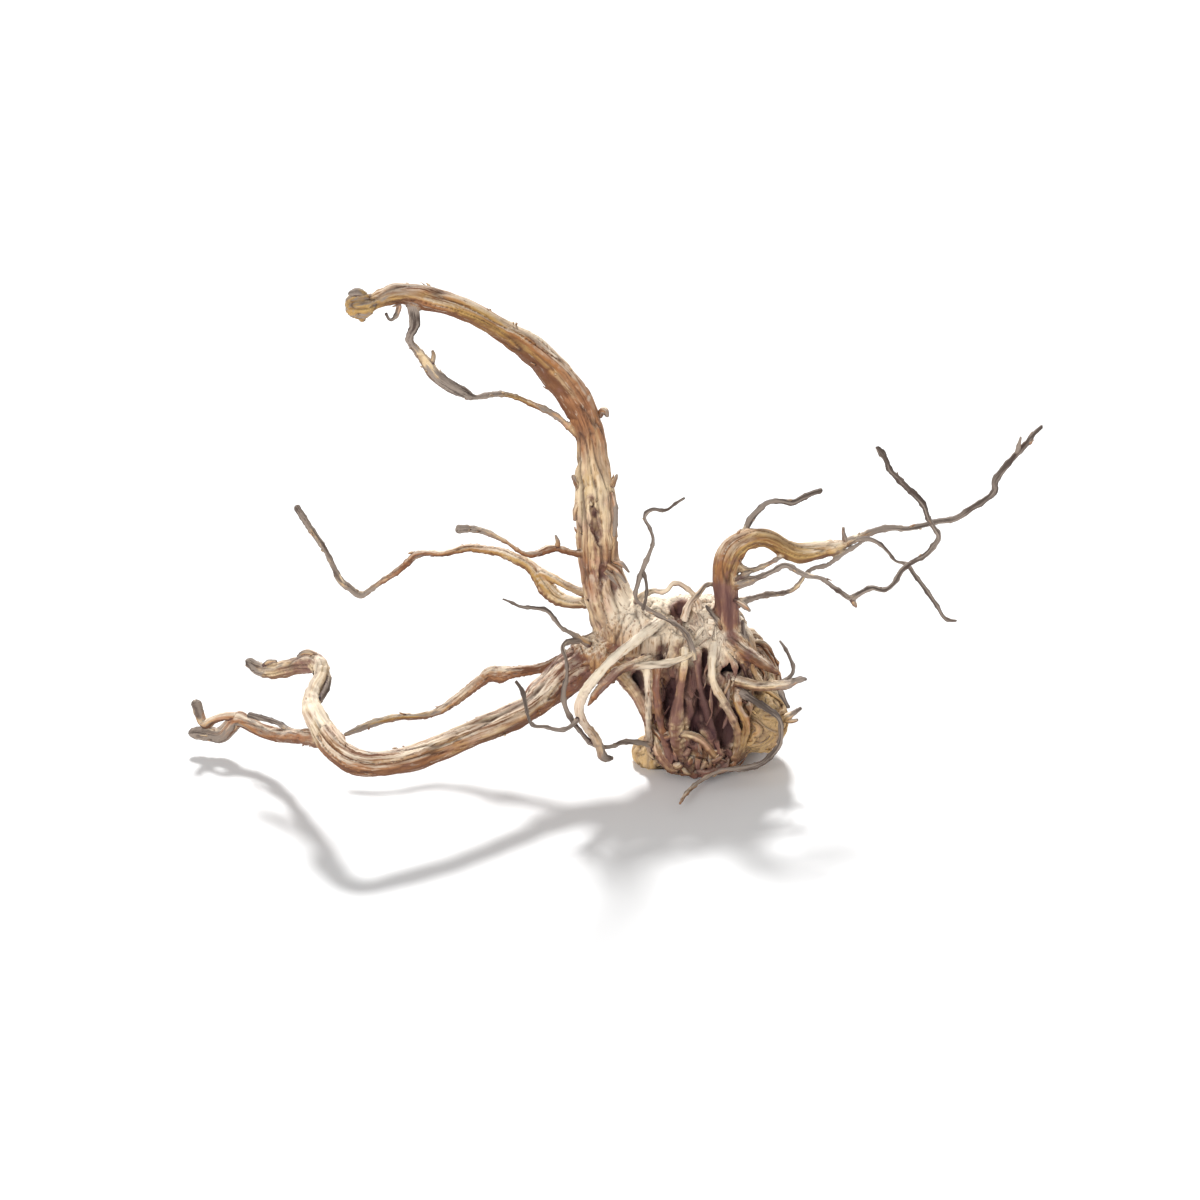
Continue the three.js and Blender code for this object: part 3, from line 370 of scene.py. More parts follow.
ROOTS = {
    "arching_root": [
        (-19, 71, -10, 3.8), (-27.5, 65.5, -20, 3.2), (-35, 59.5, -29, 2.8), (-42.5, 53.5, -36, 2.7),
        (-49, 47, -42, 2.7), (-54.5, 40.5, -46, 2.9), (-59, 33.5, -48, 3), (-60.5, 26.5, -49, 2.9),
        (-57.5, 20, -48, 2.6), (-53.5, 14.5, -46, 2.8), (-50.5, 9, -44, 2.6), (-48, 3.5, -42, 2.6),
        (-43.5, 3, -40, 1.4),
    ],
    "pointed_root": [
        (-25, 52, -24, 3.4), (-33, 49.5, -31, 3), (-40, 47, -36, 2.8), (-46, 42, -40, 3),
        (-51, 36.5, -42, 2.6), (-54, 32.5, -43, 1.8), (-56, 29, -44, 0.8),
    ],
    "brow_root": [
        (-44, 46.5, -31, 1.6), (-37, 48, -33, 2), (-27.5, 49.5, -32, 2.4), (-18, 50, -30, 2.4),
        (-9, 52.5, -27, 2.2), (-1, 57, -20, 2.4),
    ],
    "post_root": [
        (-27, 55, -23, 2.8), (-26.5, 46, -28, 2.2), (-26, 36, -28, 2), (-25.5, 26, -25, 2),
        (-25.5, 17, -20, 2.1), (-24.5, 8, -13, 2.8),
    ],
    "shoulder_root": [
        (-47, 50.5, -8, 4.4), (-40, 45, -10, 4), (-33.5, 37.5, -11, 3.6), (-28.8, 29.5, -12, 3.4),
        (-25.6, 21, -12, 3.2), (-24, 12, -9, 3.6), (-24.5, 4, -5, 4.2),
    ],
    "thread_root": [
        (-61, 62, -12, 1.9), (-68.5, 59, -22, 1.5), (-67, 52, -30, 1.3), (-66.5, 44, -36, 1.3),
        (-68, 37, -40, 1.4), (-67.5, 29.5, -43, 1.4), (-64, 22, -46, 1.5), (-59.5, 16, -47, 1.5),
        (-55, 11, -45, 1.6), (-50, 8.5, -42, 1.4), (-43.5, 9, -37, 1.5), (-39, 11, -32, 1.5),
        (-32, 11, -25, 1.5), (-23, 9, -15, 2),
    ],
    "whisker_root": [
        (-92, 41.5, -56, 0.9), (-89, 37, -58, 1.4), (-87.5, 31, -60, 1.4), (-86, 24, -60, 1.2),
        (-83.5, 19.5, -58, 1.2), (-77.5, 18.5, -56, 1.2), (-69.5, 17, -54, 1.3), (-64.5, 19, -52, 1.4),
        (-60.5, 23.5, -50, 1.6),
    ],
    "right_root": [
        (12, 44, -14, 4), (21, 41, -20, 3.4), (29, 39, -22, 3.1), (37, 39.2, -22, 2.9),
        (44, 39.8, -21, 2.7), (49, 42, -20, 2), (53.5, 42.5, -20, 1.2),
    ],
    "right_root_spike": [
        (38, 40, -20, 1.8), (44, 43, -18, 1.4), (46.5, 47, -16, 1.2), (45, 53, -14, 1.1),
        (42.5, 58, -12, 1.1), (40, 61.5, -11, 0.8),
    ],
    "right_root_drop": [
        (39.5, 39, -22, 1.8), (41.5, 33.5, -23, 1.5), (44, 28.5, -22, 1),
    ],
    "sweeping_root": [
        (20, 36, -22, 2.8), (28, 31.5, -25, 1.9), (34, 27.5, -25, 1.8), (39.5, 22.5, -24, 1.7),
        (40.5, 16.5, -24, 1.7), (39.5, 10, -25, 1.7), (35.5, 4.5, -26, 1.8), (30, 0, -27, 1.8),
        (23.5, -2, -28, 1.9), (16.5, -2.5, -29, 1.7), (9, -4, -30, 1.5), (1.5, -7.5, -34, 1.4),
        (-5, -13, -42, 1.2), (-10, -19.5, -58, 0.9),
    ],
    "side_stub": [
        (36, 19, -12, 3.4), (43, 23, -15, 2.5), (47, 25.5, -15, 2), (50.5, 28, -14, 1.2),
    ],
    "side_stub_fork": [
        (41, 22.5, -15, 2), (45, 21.5, -16, 1.6), (48.5, 22, -17, 1),
    ],
    "stem_spur": [
        (26, 48, -6, 2.6), (24, 56, -7, 2.2), (22, 63, -8, 1.6), (21, 71, -8, 0.8),
    ],
    "stem_root": [
        (17, 60, -10, 3.8), (25, 54.5, -13, 3.6), (32, 49.5, -14, 3.2), (38.5, 46, -13, 1.8),
    ],
    "crest_root": [
        (-32, 76, 0, 2.4), (-31, 82, -2, 2.2), (-24, 86.5, -6, 1.8), (-17.5, 86.5, -10, 1.6),
        (-13, 90.5, -8, 1.5), (-6.5, 88, -5, 1.6), (-1.5, 82, -4, 1.8), (0, 75, -3, 2.4),
    ],
    "crest_root_right": [
        (-8, 72, -7, 2.4), (-5.5, 80, -7, 1.8), (-1, 85, -4, 1.7), (5, 90, 0, 1.5), (10.5, 85, 0, 1.7),
        (12, 75, 1, 2.4),
    ],
    "crown_spike": [
        (13.5, 62, -6, 2.8), (9.5, 70, -9, 1.8), (6, 75, -10, 1.3), (3, 79, -11, 0.7),
    ],
    "front_root_a": [
        (-21.5, 51, -24, 2.8), (-22, 40, -28, 2.3), (-21, 29, -28, 2.2), (-19, 18, -25, 2.2),
        (-16, 8, -21, 2.6), (-14, 1, -17, 2.6),
    ],
    "front_root_b": [
        (-8, 58, -22, 3), (-8.5, 48, -28, 2.6), (-10, 37, -29, 2.4), (-11.5, 26, -29, 3.6),
        (-12, 17, -27, 4.2), (-10, 7, -23, 3.4), (-4, -3, -20, 2.6),
    ],
    "front_root_c": [
        (-1.5, 57, -21, 2.6), (-1, 46, -24, 2.4), (1, 35, -26, 2.3), (4, 24, -26, 2.3),
        (7, 13, -24, 2.4), (9, 2, -20, 2.8),
    ],
    "front_root_d": [
        (7, 60, -13, 3), (6, 50, -23, 2.4), (7, 40, -27, 2.4), (12, 31, -28, 2.4), (17, 21, -26, 2.4),
        (19, 11, -22, 2.4), (17, 3, -17, 2.6),
    ],
    "foot_root": [
        (-17, 14, -25, 2.6), (-8, 15, -29, 2.4), (-1, 13, -29, 2.6), (4, 8, -27, 2.4),
        (9, 2, -22, 2.2),
    ],
    "burl_root": [
        (19, 38, -20, 3), (19, 29, -25, 2.4), (23, 21, -26, 2.6), (22, 13, -23, 2.4),
        (18, 5, -18, 2.6),
    ],
}
print("Measured limbs:", sum(len(group) for group in (STEM, LIMBS, TWIGS, ROOTS)))

# %% [markdown]
# ## Drawing a limb
# A limb could be a row of extruded rings, but a curve is quicker to draw and bends without pinching. Its
# points get smooth automatic handles and their own thickness, and its bevel makes the tube. Two more
# points just past its end round it off, as weather does with a broken end, and a thick limb's start is
# rounded too. The same curve is sampled for its middle line, because the grain will follow that later.

# %% A limb from its stations
SAMPLE_STEP = 1.2 * MM
THICK_START = 5 * MM


def rounded_off(stations):
    (before, _), (last, radius) = stations[-2:]
    ahead = (Vector(last) - Vector(before)).normalized()
    shoulder = (last + 0.42 * radius * ahead, 0.72 * radius)
    tip = (last + 0.62 * radius * ahead, 0.3 * radius)
    return [*stations, shoulder, tip]


def draw_limb(name, stations, ring_step, sides):
    """Returns the limb's mesh object and its middle line: places and radii."""
    deselect_all()
    spans = [(b[0] - a[0]).length for a, b in zip(stations, stations[1:])]
    stations = rounded_off(stations)
    if stations[0][1] > THICK_START:
        stations = rounded_off(stations[::-1])[::-1]
    bpy.ops.curve.primitive_bezier_curve_add(radius=1)
    limb = bpy.context.object
    limb.name = name
    spline = limb.data.splines[0]
    spline.bezier_points.add(len(stations) - 2)
    for point, (place, radius) in zip(spline.bezier_points, stations):
        point.co = place
        point.radius = radius
        point.handle_left_type = point.handle_right_type = "AUTO"
    limb.location = (0, 0, 0)
    limb.rotation_euler = (0, 0, 0)
    limb.data.dimensions = "3D"
    limb.data.resolution_u = max(2, round(sum(spans) / len(spans) / ring_step))
    limb.data.bevel_depth = 1
    limb.data.bevel_resolution = (sides - 4) // 2
    limb.data.use_fill_caps = True
    bpy.context.view_layer.update()
    line = middle_line(spline, [radius for _, radius in stations])
    bpy.ops.object.convert(target="MESH")
    return bpy.context.object, line


def middle_line(spline, radii):
    places, widths = [], []
    points = spline.bezier_points
    for i, (a, b) in enumerate(zip(points, points[1:])):
        count = max(2, round((b.co - a.co).length / SAMPLE_STEP) + 1)
        samples = interpolate_bezier(a.co, a.handle_right, b.handle_left, b.co, count)
        last = i == len(points) - 2
        for k in range(count if last else count - 1):
            places.append(samples[k][:])
            widths.append(radii[i] + (radii[i + 1] - radii[i]) * k / (count - 1))
    return np.array(places), np.array(widths)


# %% [markdown]
# Every limb keeps its middle line in one list, with a frame that turns along it without twisting. Each
# place on the skin can then be told how far along its limb it lies, and on which side: that is how grain
# runs in real wood.

# %% Middle lines and their frames
STAINS = ("grey", "rust", "damp", "ochre", "pale", "soak")
LINE_SHIFT = 137 * MM
middle_lines = []


def keep_line(name, line, weathering):
    """Weathering gives each stain's strength at even steps from the limb's start to its end."""
    places, radii = line
    ahead = np.gradient(places, axis=0)
    ahead /= np.linalg.norm(ahead, axis=1, keepdims=True)
    side = np.zeros_like(ahead)
    current = np.cross(ahead[0], (0.31, 0.77, 0.55))
    for i, direction in enumerate(ahead):
        current = current - direction * current.dot(direction)
        current /= np.linalg.norm(current)
        side[i] = current
    steps = np.linalg.norm(np.diff(places, axis=0), axis=1)
    along = np.concatenate(([0], np.cumsum(steps)))
    kept = {"name": name, "places": places, "radii": radii, "ahead": ahead, "side": side}
    kept["over"] = np.cross(ahead, side)
    kept["along"] = along + len(middle_lines) * LINE_SHIFT
    for stain in STAINS:
        levels = weathering.get(stain, (0,))
        kept[stain] = np.interp(along / along[-1], np.linspace(0, 1, len(levels)), levels)
    middle_lines.append(kept)

# %% [markdown]
# ## The thick wood
# The stem, the long front limb and the stout roots run into each other with soft shoulders. They are
# drawn a little coarse, because the remesh will give them one even skin.

# %% Stem, limbs and stout roots
# How each limb weathered, in even steps from its start to its end. Grey is the skin that it kept, rust
# an orange-brown stain, damp a mauve rot, ochre a yellow one, pale what the sun has bleached together with
# a painted highlight, and soak how much it takes on from the hollows and from the pale, highlighted top of
# the crown near it.
WEATHERING = {
    "trunk": {
        "grey": (0, 0.15, 0.1, 0.05, 0.1, 0.2, 0.15, 0.15, 0.5),
        "rust": (0.05, 0.3, 0.5, 0.15, 0.65, 0.55, 0.4, 0.6, 0.3),
        "damp": (0.05, 0.25, 0.3, 0, 0.2, 0.1, 0, 0.05, 0.1),
        "ochre": (0, 0.1, 0.1, 0.5, 0.1, 0.5, 0.75, 0.5, 0.9),
        "pale": (0.5, 0.25, 0, 0.3, 0, 0, 0, 0, 0),
        "soak": (0.6,),
    },
    "right_stem": {
        "grey": (0, 0, 0, 0.1, 0, 0.4),
        "rust": (0.6, 0.6, 0.5, 0.5, 0.3, 0.4),
        "damp": (0.8, 0.65, 0.75, 0.1, 0, 0.2),
        "ochre": (0, 0.1, 0.2, 0.8, 0.8, 0.3),
    },
    "front_limb": {
        "grey": (0.1, 0.1, 0.05, 0.05, 0, 0),
        "rust": (0.5, 0.75, 0.6, 0.55, 0.7, 0.35),
        "damp": (0.7, 0.5, 0.15, 0.1, 0.25, 0),
        "ochre": (0, 0.1, 0.3, 0.4, 0.45, 0.4),
    },
    "front_limb_fork": {
        "pale": (0.4, 0.5, 0.2, 0, 0),
        "grey": (0, 0, 0.15, 0.35, 0.3, 0.9),
        "rust": (0.1, 0.1, 0.1, 0.6, 0.3, 0.2),
        "damp": (0, 0, 0.1, 0.6, 0.1, 0),
        "ochre": (0.4, 0.3, 0.1, 0, 0.4, 0.2),
    },
    "front_limb_tip": {"grey": (0.1, 0.3, 0.35, 0.4, 0.4, 0.9), "rust": (0.2, 0.6, 0.9, 0.5, 0.4)},
    "front_limb_prong": {"grey": (0.3, 0.2, 0.4, 0.8), "rust": (0.6, 0.3, 0.5, 0.1)},
    "upper_left_root": {
        "grey": (0.1, 0.25, 0.3, 0.4, 0.65),
        "rust": (0.5, 0.8, 0.6, 0.4, 0.3),
        "ochre": (0.2, 0.1, 0.5, 0.6),
    },
    "back_limb": {
        "grey": (0.05, 0.15, 0.25, 0.4, 0.6, 0.85),
        "rust": (0.2, 0.25, 0.5, 0.6, 0.3, 0.2),
        "ochre": (0.5, 0.5, 0.3, 0.2),
    },
    "back_limb_web": {"grey": (0.1, 0.2), "rust": (0.3,), "ochre": (0.5,)},
    "mid_limb": {"grey": (0.15, 0.3, 0.4, 0.75), "rust": (0.7, 0.7, 0.4, 0.2)},
    "hanging_loop": {
        "grey": (0.5, 0.5, 0.4, 0.45, 0.8, 0.75, 0.35, 0.9, 0.9),
        "rust": (0.4, 0.3, 0.2, 0.1, 0, 0, 0, 0.2, 0.4),
        "ochre": (0.3, 0.5, 0.5, 0.3, 0),
    },
    "far_twig": {"grey": (0.35, 0.75, 0.85, 0.95, 1), "rust": (0.4, 0.3, 0.1, 0)},
    "crossing_twig": {"grey": (0.6, 0.7, 0.8, 0.9, 1), "rust": (0.2, 0.1, 0)},
    "returning_twig": {"grey": (0.6, 0.65, 0.75), "ochre": (0.3,)},
    "drooping_twig": {"grey": (0.75, 0.85)},
    "rising_twig": {"grey": (0.9, 0.85), "ochre": (0.2,)},
    "brace_twig": {"grey": (0.4, 0.5), "damp": (0.4, 0.2)},
    "crown_twig": {"grey": (0.9, 0.6, 0.8, 0.85)},
    "crown_twig_fork": {"grey": (0.8,)},
    "left_twig": {"grey": (0.5, 0.8, 0.8)},
    "fork_twig": {"grey": (0.85,)},
    "fork_stub": {"grey": (0.9,)},
    "tip_hook": {"grey": (0.5, 0.9), "rust": (0.9, 0)},
    "tip_prong_top": {"grey": (0.4, 0.9), "ochre": (0.8,)},
    "tip_prong_low": {"grey": (0.4, 0.8), "ochre": (0.8,)},
    "thread_root": {"grey": (0.75,)},
    "whisker_root": {"grey": (0.85,)},
    "arching_root": {
        "grey": (0, 0, 0, 0.1, 0.9),
        "damp": (0, 0, 0.1, 0.2, 0.2),
        "pale": (0.9, 0.9, 0.8, 0.5, 0),
    },
    "pointed_root": {"grey": (0, 0.2, 0.6), "rust": (0.2, 0.5), "damp": (0.2, 0.6, 0.3)},
    "brow_root": {"ochre": (0.2,), "pale": (0.7,)},
    "post_root": {"rust": (0.1,), "damp": (0, 0.1, 0.2), "pale": (0.8, 0.6, 0.3)},
    "shoulder_root": {"rust": (0.2,), "damp": (0.3, 0.4, 0.3, 0.1)},
    "right_root": {"grey": (0, 0.05, 0.4, 1), "rust": (0.4, 0.4, 0.2), "damp": (0.3, 0.2, 0)},
    "right_root_spike": {"grey": (0.8,)},
    "right_root_drop": {"grey": (0.9,)},
    "sweeping_root": {"grey": (0.9, 0.9, 0.95, 0.7, 0.4, 0.4), "rust": (0.5, 0, 0, 0.2, 0.7)},
    "side_stub": {"grey": (0.3, 0.8)},
    "side_stub_fork": {"grey": (0.7,)},
    "stem_spur": {"grey": (0.4, 0.9)},
    "stem_root": {"rust": (0.6,), "damp": (0.5, 0.3)},
    "crest_root": {"grey": (0, 0.3, 0.4, 0.3, 0), "pale": (0.9, 0.5, 0.3, 0.5, 0.9)},
    "crest_root_right": {"grey": (0, 0.3, 0.5, 0.3, 0), "pale": (0.9, 0.5, 0.3, 0.5, 0.9)},
    "crown_spike": {"grey": (0.3, 0.9)},
    "front_root_a": {"rust": (0.7,), "damp": (0.5, 0.6, 0.7)},
    "front_root_b": {"rust": (0.3, 0.5), "damp": (0.1, 0.5, 0.9, 0.4, 0.3, 0.7)},
    "front_root_c": {"grey": (0.3,), "damp": (0.8, 1, 1, 0.8)},
    "front_root_d": {"rust": (0.1, 0.3), "damp": (0.1, 0.15, 0.5, 0.35, 0.3), "pale": (0.9, 0.4, 0, 0)},
    "foot_root": {"rust": (0.6, 0.2), "damp": (0.5, 0.3, 0.1, 0.1)},
    "burl_root": {"rust": (0.6,), "ochre": (0.6, 1)},
}
ROOT_WEATHERING = {"grey": (0.1, 0.2), "rust": (0.35,), "damp": (0.2, 0.3), "ochre": (0.15,), "soak": (0.8,)}
THICKEST_TWIG = 2.9 * MM
THICK_STEP = 2.2 * MM
THIN_STEP = 0.8 * MM


def stations_of(line):
    return [(placed(across, rise, depth), true_radius(radius)) for across, rise, depth, radius in line]


def grow(name, stations, weathering, heap):
    """Draws a limb, keeps its middle line, and adds it to the thick or the thin heap."""
    is_thick = max(radius for _, radius in stations) > THICKEST_TWIG
    ring_step, sides = (THICK_STEP, 16) if is_thick else (THIN_STEP, 12)
    limb, line = draw_limb(name, stations, ring_step, sides)
    keep_line(name, line, weathering)
    heap["thick" if is_thick else "thin"].append(limb)


heap = {"stem": [], "thick": [], "thin": []}
for name, line in STEM.items():
    grow(name, stations_of(line), WEATHERING[name], heap)
heap["stem"], heap["thick"] = heap["thick"], []
for group in (LIMBS, TWIGS, ROOTS):
    for name, line in group.items():
        grow(name, stations_of(line), WEATHERING.get(name, ROOT_WEATHERING), heap)
print({kind: len(limbs) for kind, limbs in heap.items()})

# %% [markdown]
# ## The crown
# A shrub that is cut and grows again swells into a burl under the ground. Its mass is a handful of
# lumps, whose front has rotted into upright hollows between the roots. So the hollows are cut first, and
# the roots are drawn across them afterwards.

# %% Lumps and hollows
# Each is its middle and its three radii, in millimetres.
LUMPS = {
    "heart": ((0.5, 0, 36), (26.5, 28, 40)),
    "foot": ((-1, -3, 14), (25, 18, 18)),
    "heel": ((12, 19, 31), (28, 25, 34)),
    "toe": ((-24.8, 3, 4.5), (9, 12, 8)),
    "trunk_foot": ((-30, 4, 70), (22, 18, 19)),
    "bridge": ((-4, 6, 74), (24, 17, 14)),
    "stem_foot": ((13, -2, 60), (14, 14, 20)),
    "trunk_heel": ((-27, 13, 57), (16, 14, 16)),
    "limb_foot": ((-50, -1, 58), (16, 13, 13)),
    "burl": ((29, -7, 26), (13, 15, 15)),
}
HOLLOWS = {
    "tall": ((-15.5, -30, 45), (6, 16, 18)),
    "left_eye": ((-32, -17, 50), (5, 9, 9)),
    "middle": ((1.5, -31, 43), (7, 14, 13)),
    "low": ((12.5, -28, 28), (7.5, 15, 14)),
    "top_pit": ((-11, -6, 85), (5, 9, 5.5)),
    "top_pit_end": ((-6, -9, 82), (3.6, 8, 3.4)),
    "seam": ((-54.6, 0, 137), (1.3, 7, 7)),
    "seam_middle": ((-52.8, 0, 129), (1.6, 7, 7)),
    "seam_end": ((-50.4, 0, 121), (1.3, 7, 6)),
    "seam_foot": ((-49.5, -3, 100), (1.8, 7, 7)),
    "seam_side": ((-45, -3, 103), (1.9, 7, 6)),
    "seam_low": ((-42, -4, 96), (1.3, 7, 4)),
    "slot": ((1.5, -24, 66), (2.8, 11, 8)),
    "narrow": ((-4, -30, 30), (3, 11, 11)),
    "under": ((-12, -26, 16), (6, 9, 5)),
    "brow": ((-20, -18, 68), (2.6, 7, 2.6)),
    "brow_side": ((-11, -21, 69), (4.5, 8, 4)),
    "stem_armpit": ((14, -16, 58), (6, 8, 3.6)),
}


def add_lumps(shapes, prefix):
    made = []
    for name, (at, radii) in shapes.items():
        deselect_all()
        bpy.ops.mesh.primitive_ico_sphere_add(
            subdivisions=4, radius=1, location=[c * MM for c in at], scale=[r * MM for r in radii]
        )
        lump = bpy.context.object
        lump.name = prefix + name
        settle(lump)
        made.append(lump)
    return made


lumps = join(add_lumps(LUMPS, "lump_") + heap["stem"], "crown")
print("Lumps and stem:", triangles_in(lumps), "triangles")

# %% [markdown]
# ## Rotted hollows
# A boolean cut needs one clean skin to cut, and the lumps and stem still pass through each other. A
# voxel remesh melts them into one first. Blowing the hollows' own skin about a little keeps their mouths
# from looking drilled.

# %% Cutting the hollows
ROUGH_VOXEL = 1.1 * MM
apply_modifier(lumps, "REMESH", mode="VOXEL", voxel_size=ROUGH_VOXEL)
hollows = join(add_lumps(HOLLOWS, "hollow_"), "hollows")
ragged = [
    Vector(place) + 1.6 * MM * noise.noise_vector(Vector(place) / (6 * MM)) for place in places_of(hollows)
]
move_to(hollows, ragged)
apply_modifier(hollows, "REMESH", mode="VOXEL", voxel_size=ROUGH_VOXEL)
apply_modifier(lumps, "BOOLEAN", operation="DIFFERENCE", object=hollows, solver="EXACT")
select_only(hollows)
bpy.ops.object.delete()
print("After the cut:", triangles_in(lumps), "triangles")

# %% [markdown]
# ## Roots that wind over the crown
# The crown is wrapped in roots that start at its shoulder and run down to its foot. They creep over the
# lumps, so each is found by walking: a step down and sideways, then out to the lumps' surface. Where a
# hollow was cut below it, the root stays in the air and bridges it, as the real ones do after the wood
# behind them has rotted.

# %% Walking on the crown
CROWN_MIDDLE = (2, 2)
WALKED_LUMPS = [LUMPS[name] for name in ("heart", "foot", "heel", "bridge", "burl")]


def numbers_from(seed):
    """Repeatable numbers from 0 to 1."""
    state = seed
    while True:
        state = (state * 1664525 + 1013904223) % 4294967296
        yield state / 4294967296


def crown_reach(angle, height):
    """How far the crown's surface lies from its middle, in millimetres."""
    across, back = math.cos(angle), math.sin(angle)
    furthest = 0
    for at, radii in WALKED_LUMPS:
        x, y, z = CROWN_MIDDLE[0] - at[0], CROWN_MIDDLE[1] - at[1], height - at[2]
        a = (across / radii[0]) ** 2 + (back / radii[1]) ** 2
        b = x * across / radii[0] ** 2 + y * back / radii[1] ** 2
        c = (x / radii[0]) ** 2 + (y / radii[1]) ** 2 + (z / radii[2]) ** 2 - 1
        inside = b * b - a * c
        if inside > 0:
            furthest = max(furthest, (math.sqrt(inside) - b) / a)
    return furthest


def on_crown(angle, height, lift):
    out = crown_reach(angle, height) + lift
    x, y = CROWN_MIDDLE[0] + out * math.cos(angle), CROWN_MIDDLE[1] + out * math.sin(angle)
    return Vector((x * MM, y * MM, height * MM))


print("The crown is", round(crown_reach(math.pi, 40) + crown_reach(0, 40)), "mm wide at 40 mm up")

# %% The stout winding roots
WINDING = {"count": 10, "steps": 8, "top": 74, "foot": 5, "thinnest": 2.2, "thickest": 4.2, "sway": 0.3}
FIRST_ANGLE, LAST_ANGLE = -20, 215

luck = numbers_from(7)
for i in range(WINDING["count"]):
    start = math.radians(FIRST_ANGLE + (LAST_ANGLE - FIRST_ANGLE) * (i + next(luck)) / WINDING["count"])
    lean = (next(luck) - 0.5) * 1.1
    phase = next(luck) * 6.28
    width = WINDING["thinnest"] + (WINDING["thickest"] - WINDING["thinnest"]) * next(luck)
    stations = []
    for step in range(WINDING["steps"] + 1):
        share = step / WINDING["steps"]
        height = WINDING["top"] + (WINDING["foot"] - WINDING["top"]) * share
        angle = start + lean * share + WINDING["sway"] * math.sin(phase + 4.5 * share)
        radius = width * (0.8 + 0.3 * math.sin(phase + 7 * share))
        stations.append((on_crown(angle, height, 0.25 * width), radius * MM))
    grow(f"winding_root_{i}", stations, ROOT_WEATHERING, heap)
print("Stout limbs and roots so far:", len(heap["thick"]))

# %% [markdown]
# Between the stout roots lies a mat of finer ones. They take their own random way: each heading drifts
# as it goes, mostly downwards. The front, which the photograph shows, gets more of them and thinner
# ones.

# %% The finer roots
ROOT_STEP = 3.6


def wandering_root(angle, height, heading, length, radius, lift, restless):
    """Stations of a root that creeps over the crown. Heading is 0 to the right, and -90 degrees is down."""
    stations = []
    count = max(3, round(length / ROOT_STEP))
    for i in range(count):
        share = i / (count - 1)
        swell = 0.75 + 0.35 * math.sin(2.1 * i + 7 * angle)
        thin_out = 1 - 0.55 * share**2
        bob = lift * math.sin(math.pi * share) + 0.5 * radius
        stations.append((on_crown(angle, max(height, radius + 0.6), bob), radius * swell * thin_out * MM))
        heading += restless * (next(luck) - 0.5)
        heading += 0.12 * (-math.pi / 2 - heading)
        angle += math.cos(heading) * ROOT_STEP / max(8, crown_reach(angle, height))
        height += math.sin(heading) * ROOT_STEP
    return stations


luck = numbers_from(29)
FINE_ROOTS = (
    # how many, from and to angle, from and to height, lengths, widths, lift, damp
    (9, -150, -25, 40, 80, (16, 34), (0.6, 1.1), 1.4, 0.6),
    (18, -150, -30, 6, 26, (8, 20), (0.7, 1.9), 1.8, 0.35),
    (26, -128, -62, 3, 20, (5, 9), (1.2, 2.9), 3, 0.5),
    (16, -70, -5, 46, 80, (12, 26), (0.8, 1.8), 1.6, 0.4),
    (30, -30, 215, 30, 84, (28, 70), (0.9, 2.3), 1.8, 0.2),
    (14, -160, 20, 76, 86, (8, 20), (0.7, 1.5), 1.6, 0.05),
)
for band, (count, start, end, low, high, lengths, widths, lift, damp) in enumerate(FINE_ROOTS):
    for i in range(count):
        angle = math.radians(start + (end - start) * (i + next(luck)) / count)
        height = low + (high - low) * next(luck)
        heading = -math.pi / 2 + 2.2 * (next(luck) - 0.5)
        length = lengths[0] + (lengths[1] - lengths[0]) * next(luck)
        width = widths[0] + (widths[1] - widths[0]) * next(luck) ** 2
        stations = wandering_root(angle, height, heading, length, width, lift * next(luck), 1.3)
        weathering = {
            "grey": (0.7 * next(luck) ** 3,),
            "rust": (0.1 + 0.9 * next(luck),),
            "damp": (damp + 0.5 * (next(luck) - 0.5),),
            "soak": (0.7,),
        }
        grow(f"fine_root_{band}_{i}", stations, weathering, heap)
print({kind: len(limbs) for kind, limbs in heap.items()})

# %% [markdown]
# ## Shreds and buds
# Shreds of bark and torn fibre still lift off the limbs, and the twigs have buds and snapped side twigs.
# Each is a short curve of three points: its foot is sunk in the limb, and its tip stands off it and
# leans the way it grew.

# %% Shreds
SHREDS = {
    "trunk": 44,
    "right_stem": 12,
    "front_limb": 18,
    "front_limb_fork": 8,
    "front_limb_tip": 8,
    "back_limb": 10,
    "mid_limb": 6,
    "hanging_loop": 8,
    "upper_left_root": 7,
    "far_twig": 9,
    "crossing_twig": 9,
    "rising_twig": 4,
    "crown_twig": 6,
    "sweeping_root": 4,
}
SHRED_STEP = 0.9 * MM
SHRED_SIDES = 6


def line_named(name):
    return next(line for line in middle_lines if line["name"] == name)


def add_shred(name, stations, weathering):
    shred, line = draw_limb(name, stations, SHRED_STEP, SHRED_SIDES)
    keep_line(name, line, weathering)
    heap["thin"].append(shred)


luck = numbers_from(53)
for name, count in SHREDS.items():
    line = line_named(name)
    for i in range(count):
        at = round((0.1 + 0.88 * next(luck)) * (len(line["places"]) - 1))
        turn = 2 * math.pi * next(luck)
        outward = Vector(math.cos(turn) * line["side"][at] + math.sin(turn) * line["over"][at])
        ahead, carrier = Vector(line["ahead"][at]), float(line["radii"][at])
        length = (1.4 + 3.8 * next(luck) ** 2) * MM * min(1, 0.45 + carrier / (6 * MM))
        stand = (0.1 + 0.35 * next(luck) ** 2) * length
        width = min(0.45 * carrier, (0.35 + 0.4 * next(luck)) * MM)
        foot = Vector(line["places"][at]) + 0.75 * carrier * outward
        elbow = foot + 0.28 * carrier * outward + 0.3 * stand * outward + 0.5 * length * ahead
        tip = foot + 0.28 * carrier * outward + stand * outward + length * ahead
        weathering = {"grey": (0.1, 0.5 * next(luck)), "rust": (0.9 * next(luck),)}
        add_shred(f"{name}_shred_{i}", [(foot, width), (elbow, 0.8 * width), (tip, 0.35 * width)], weathering)
print("Shreds:", sum(SHREDS.values()))

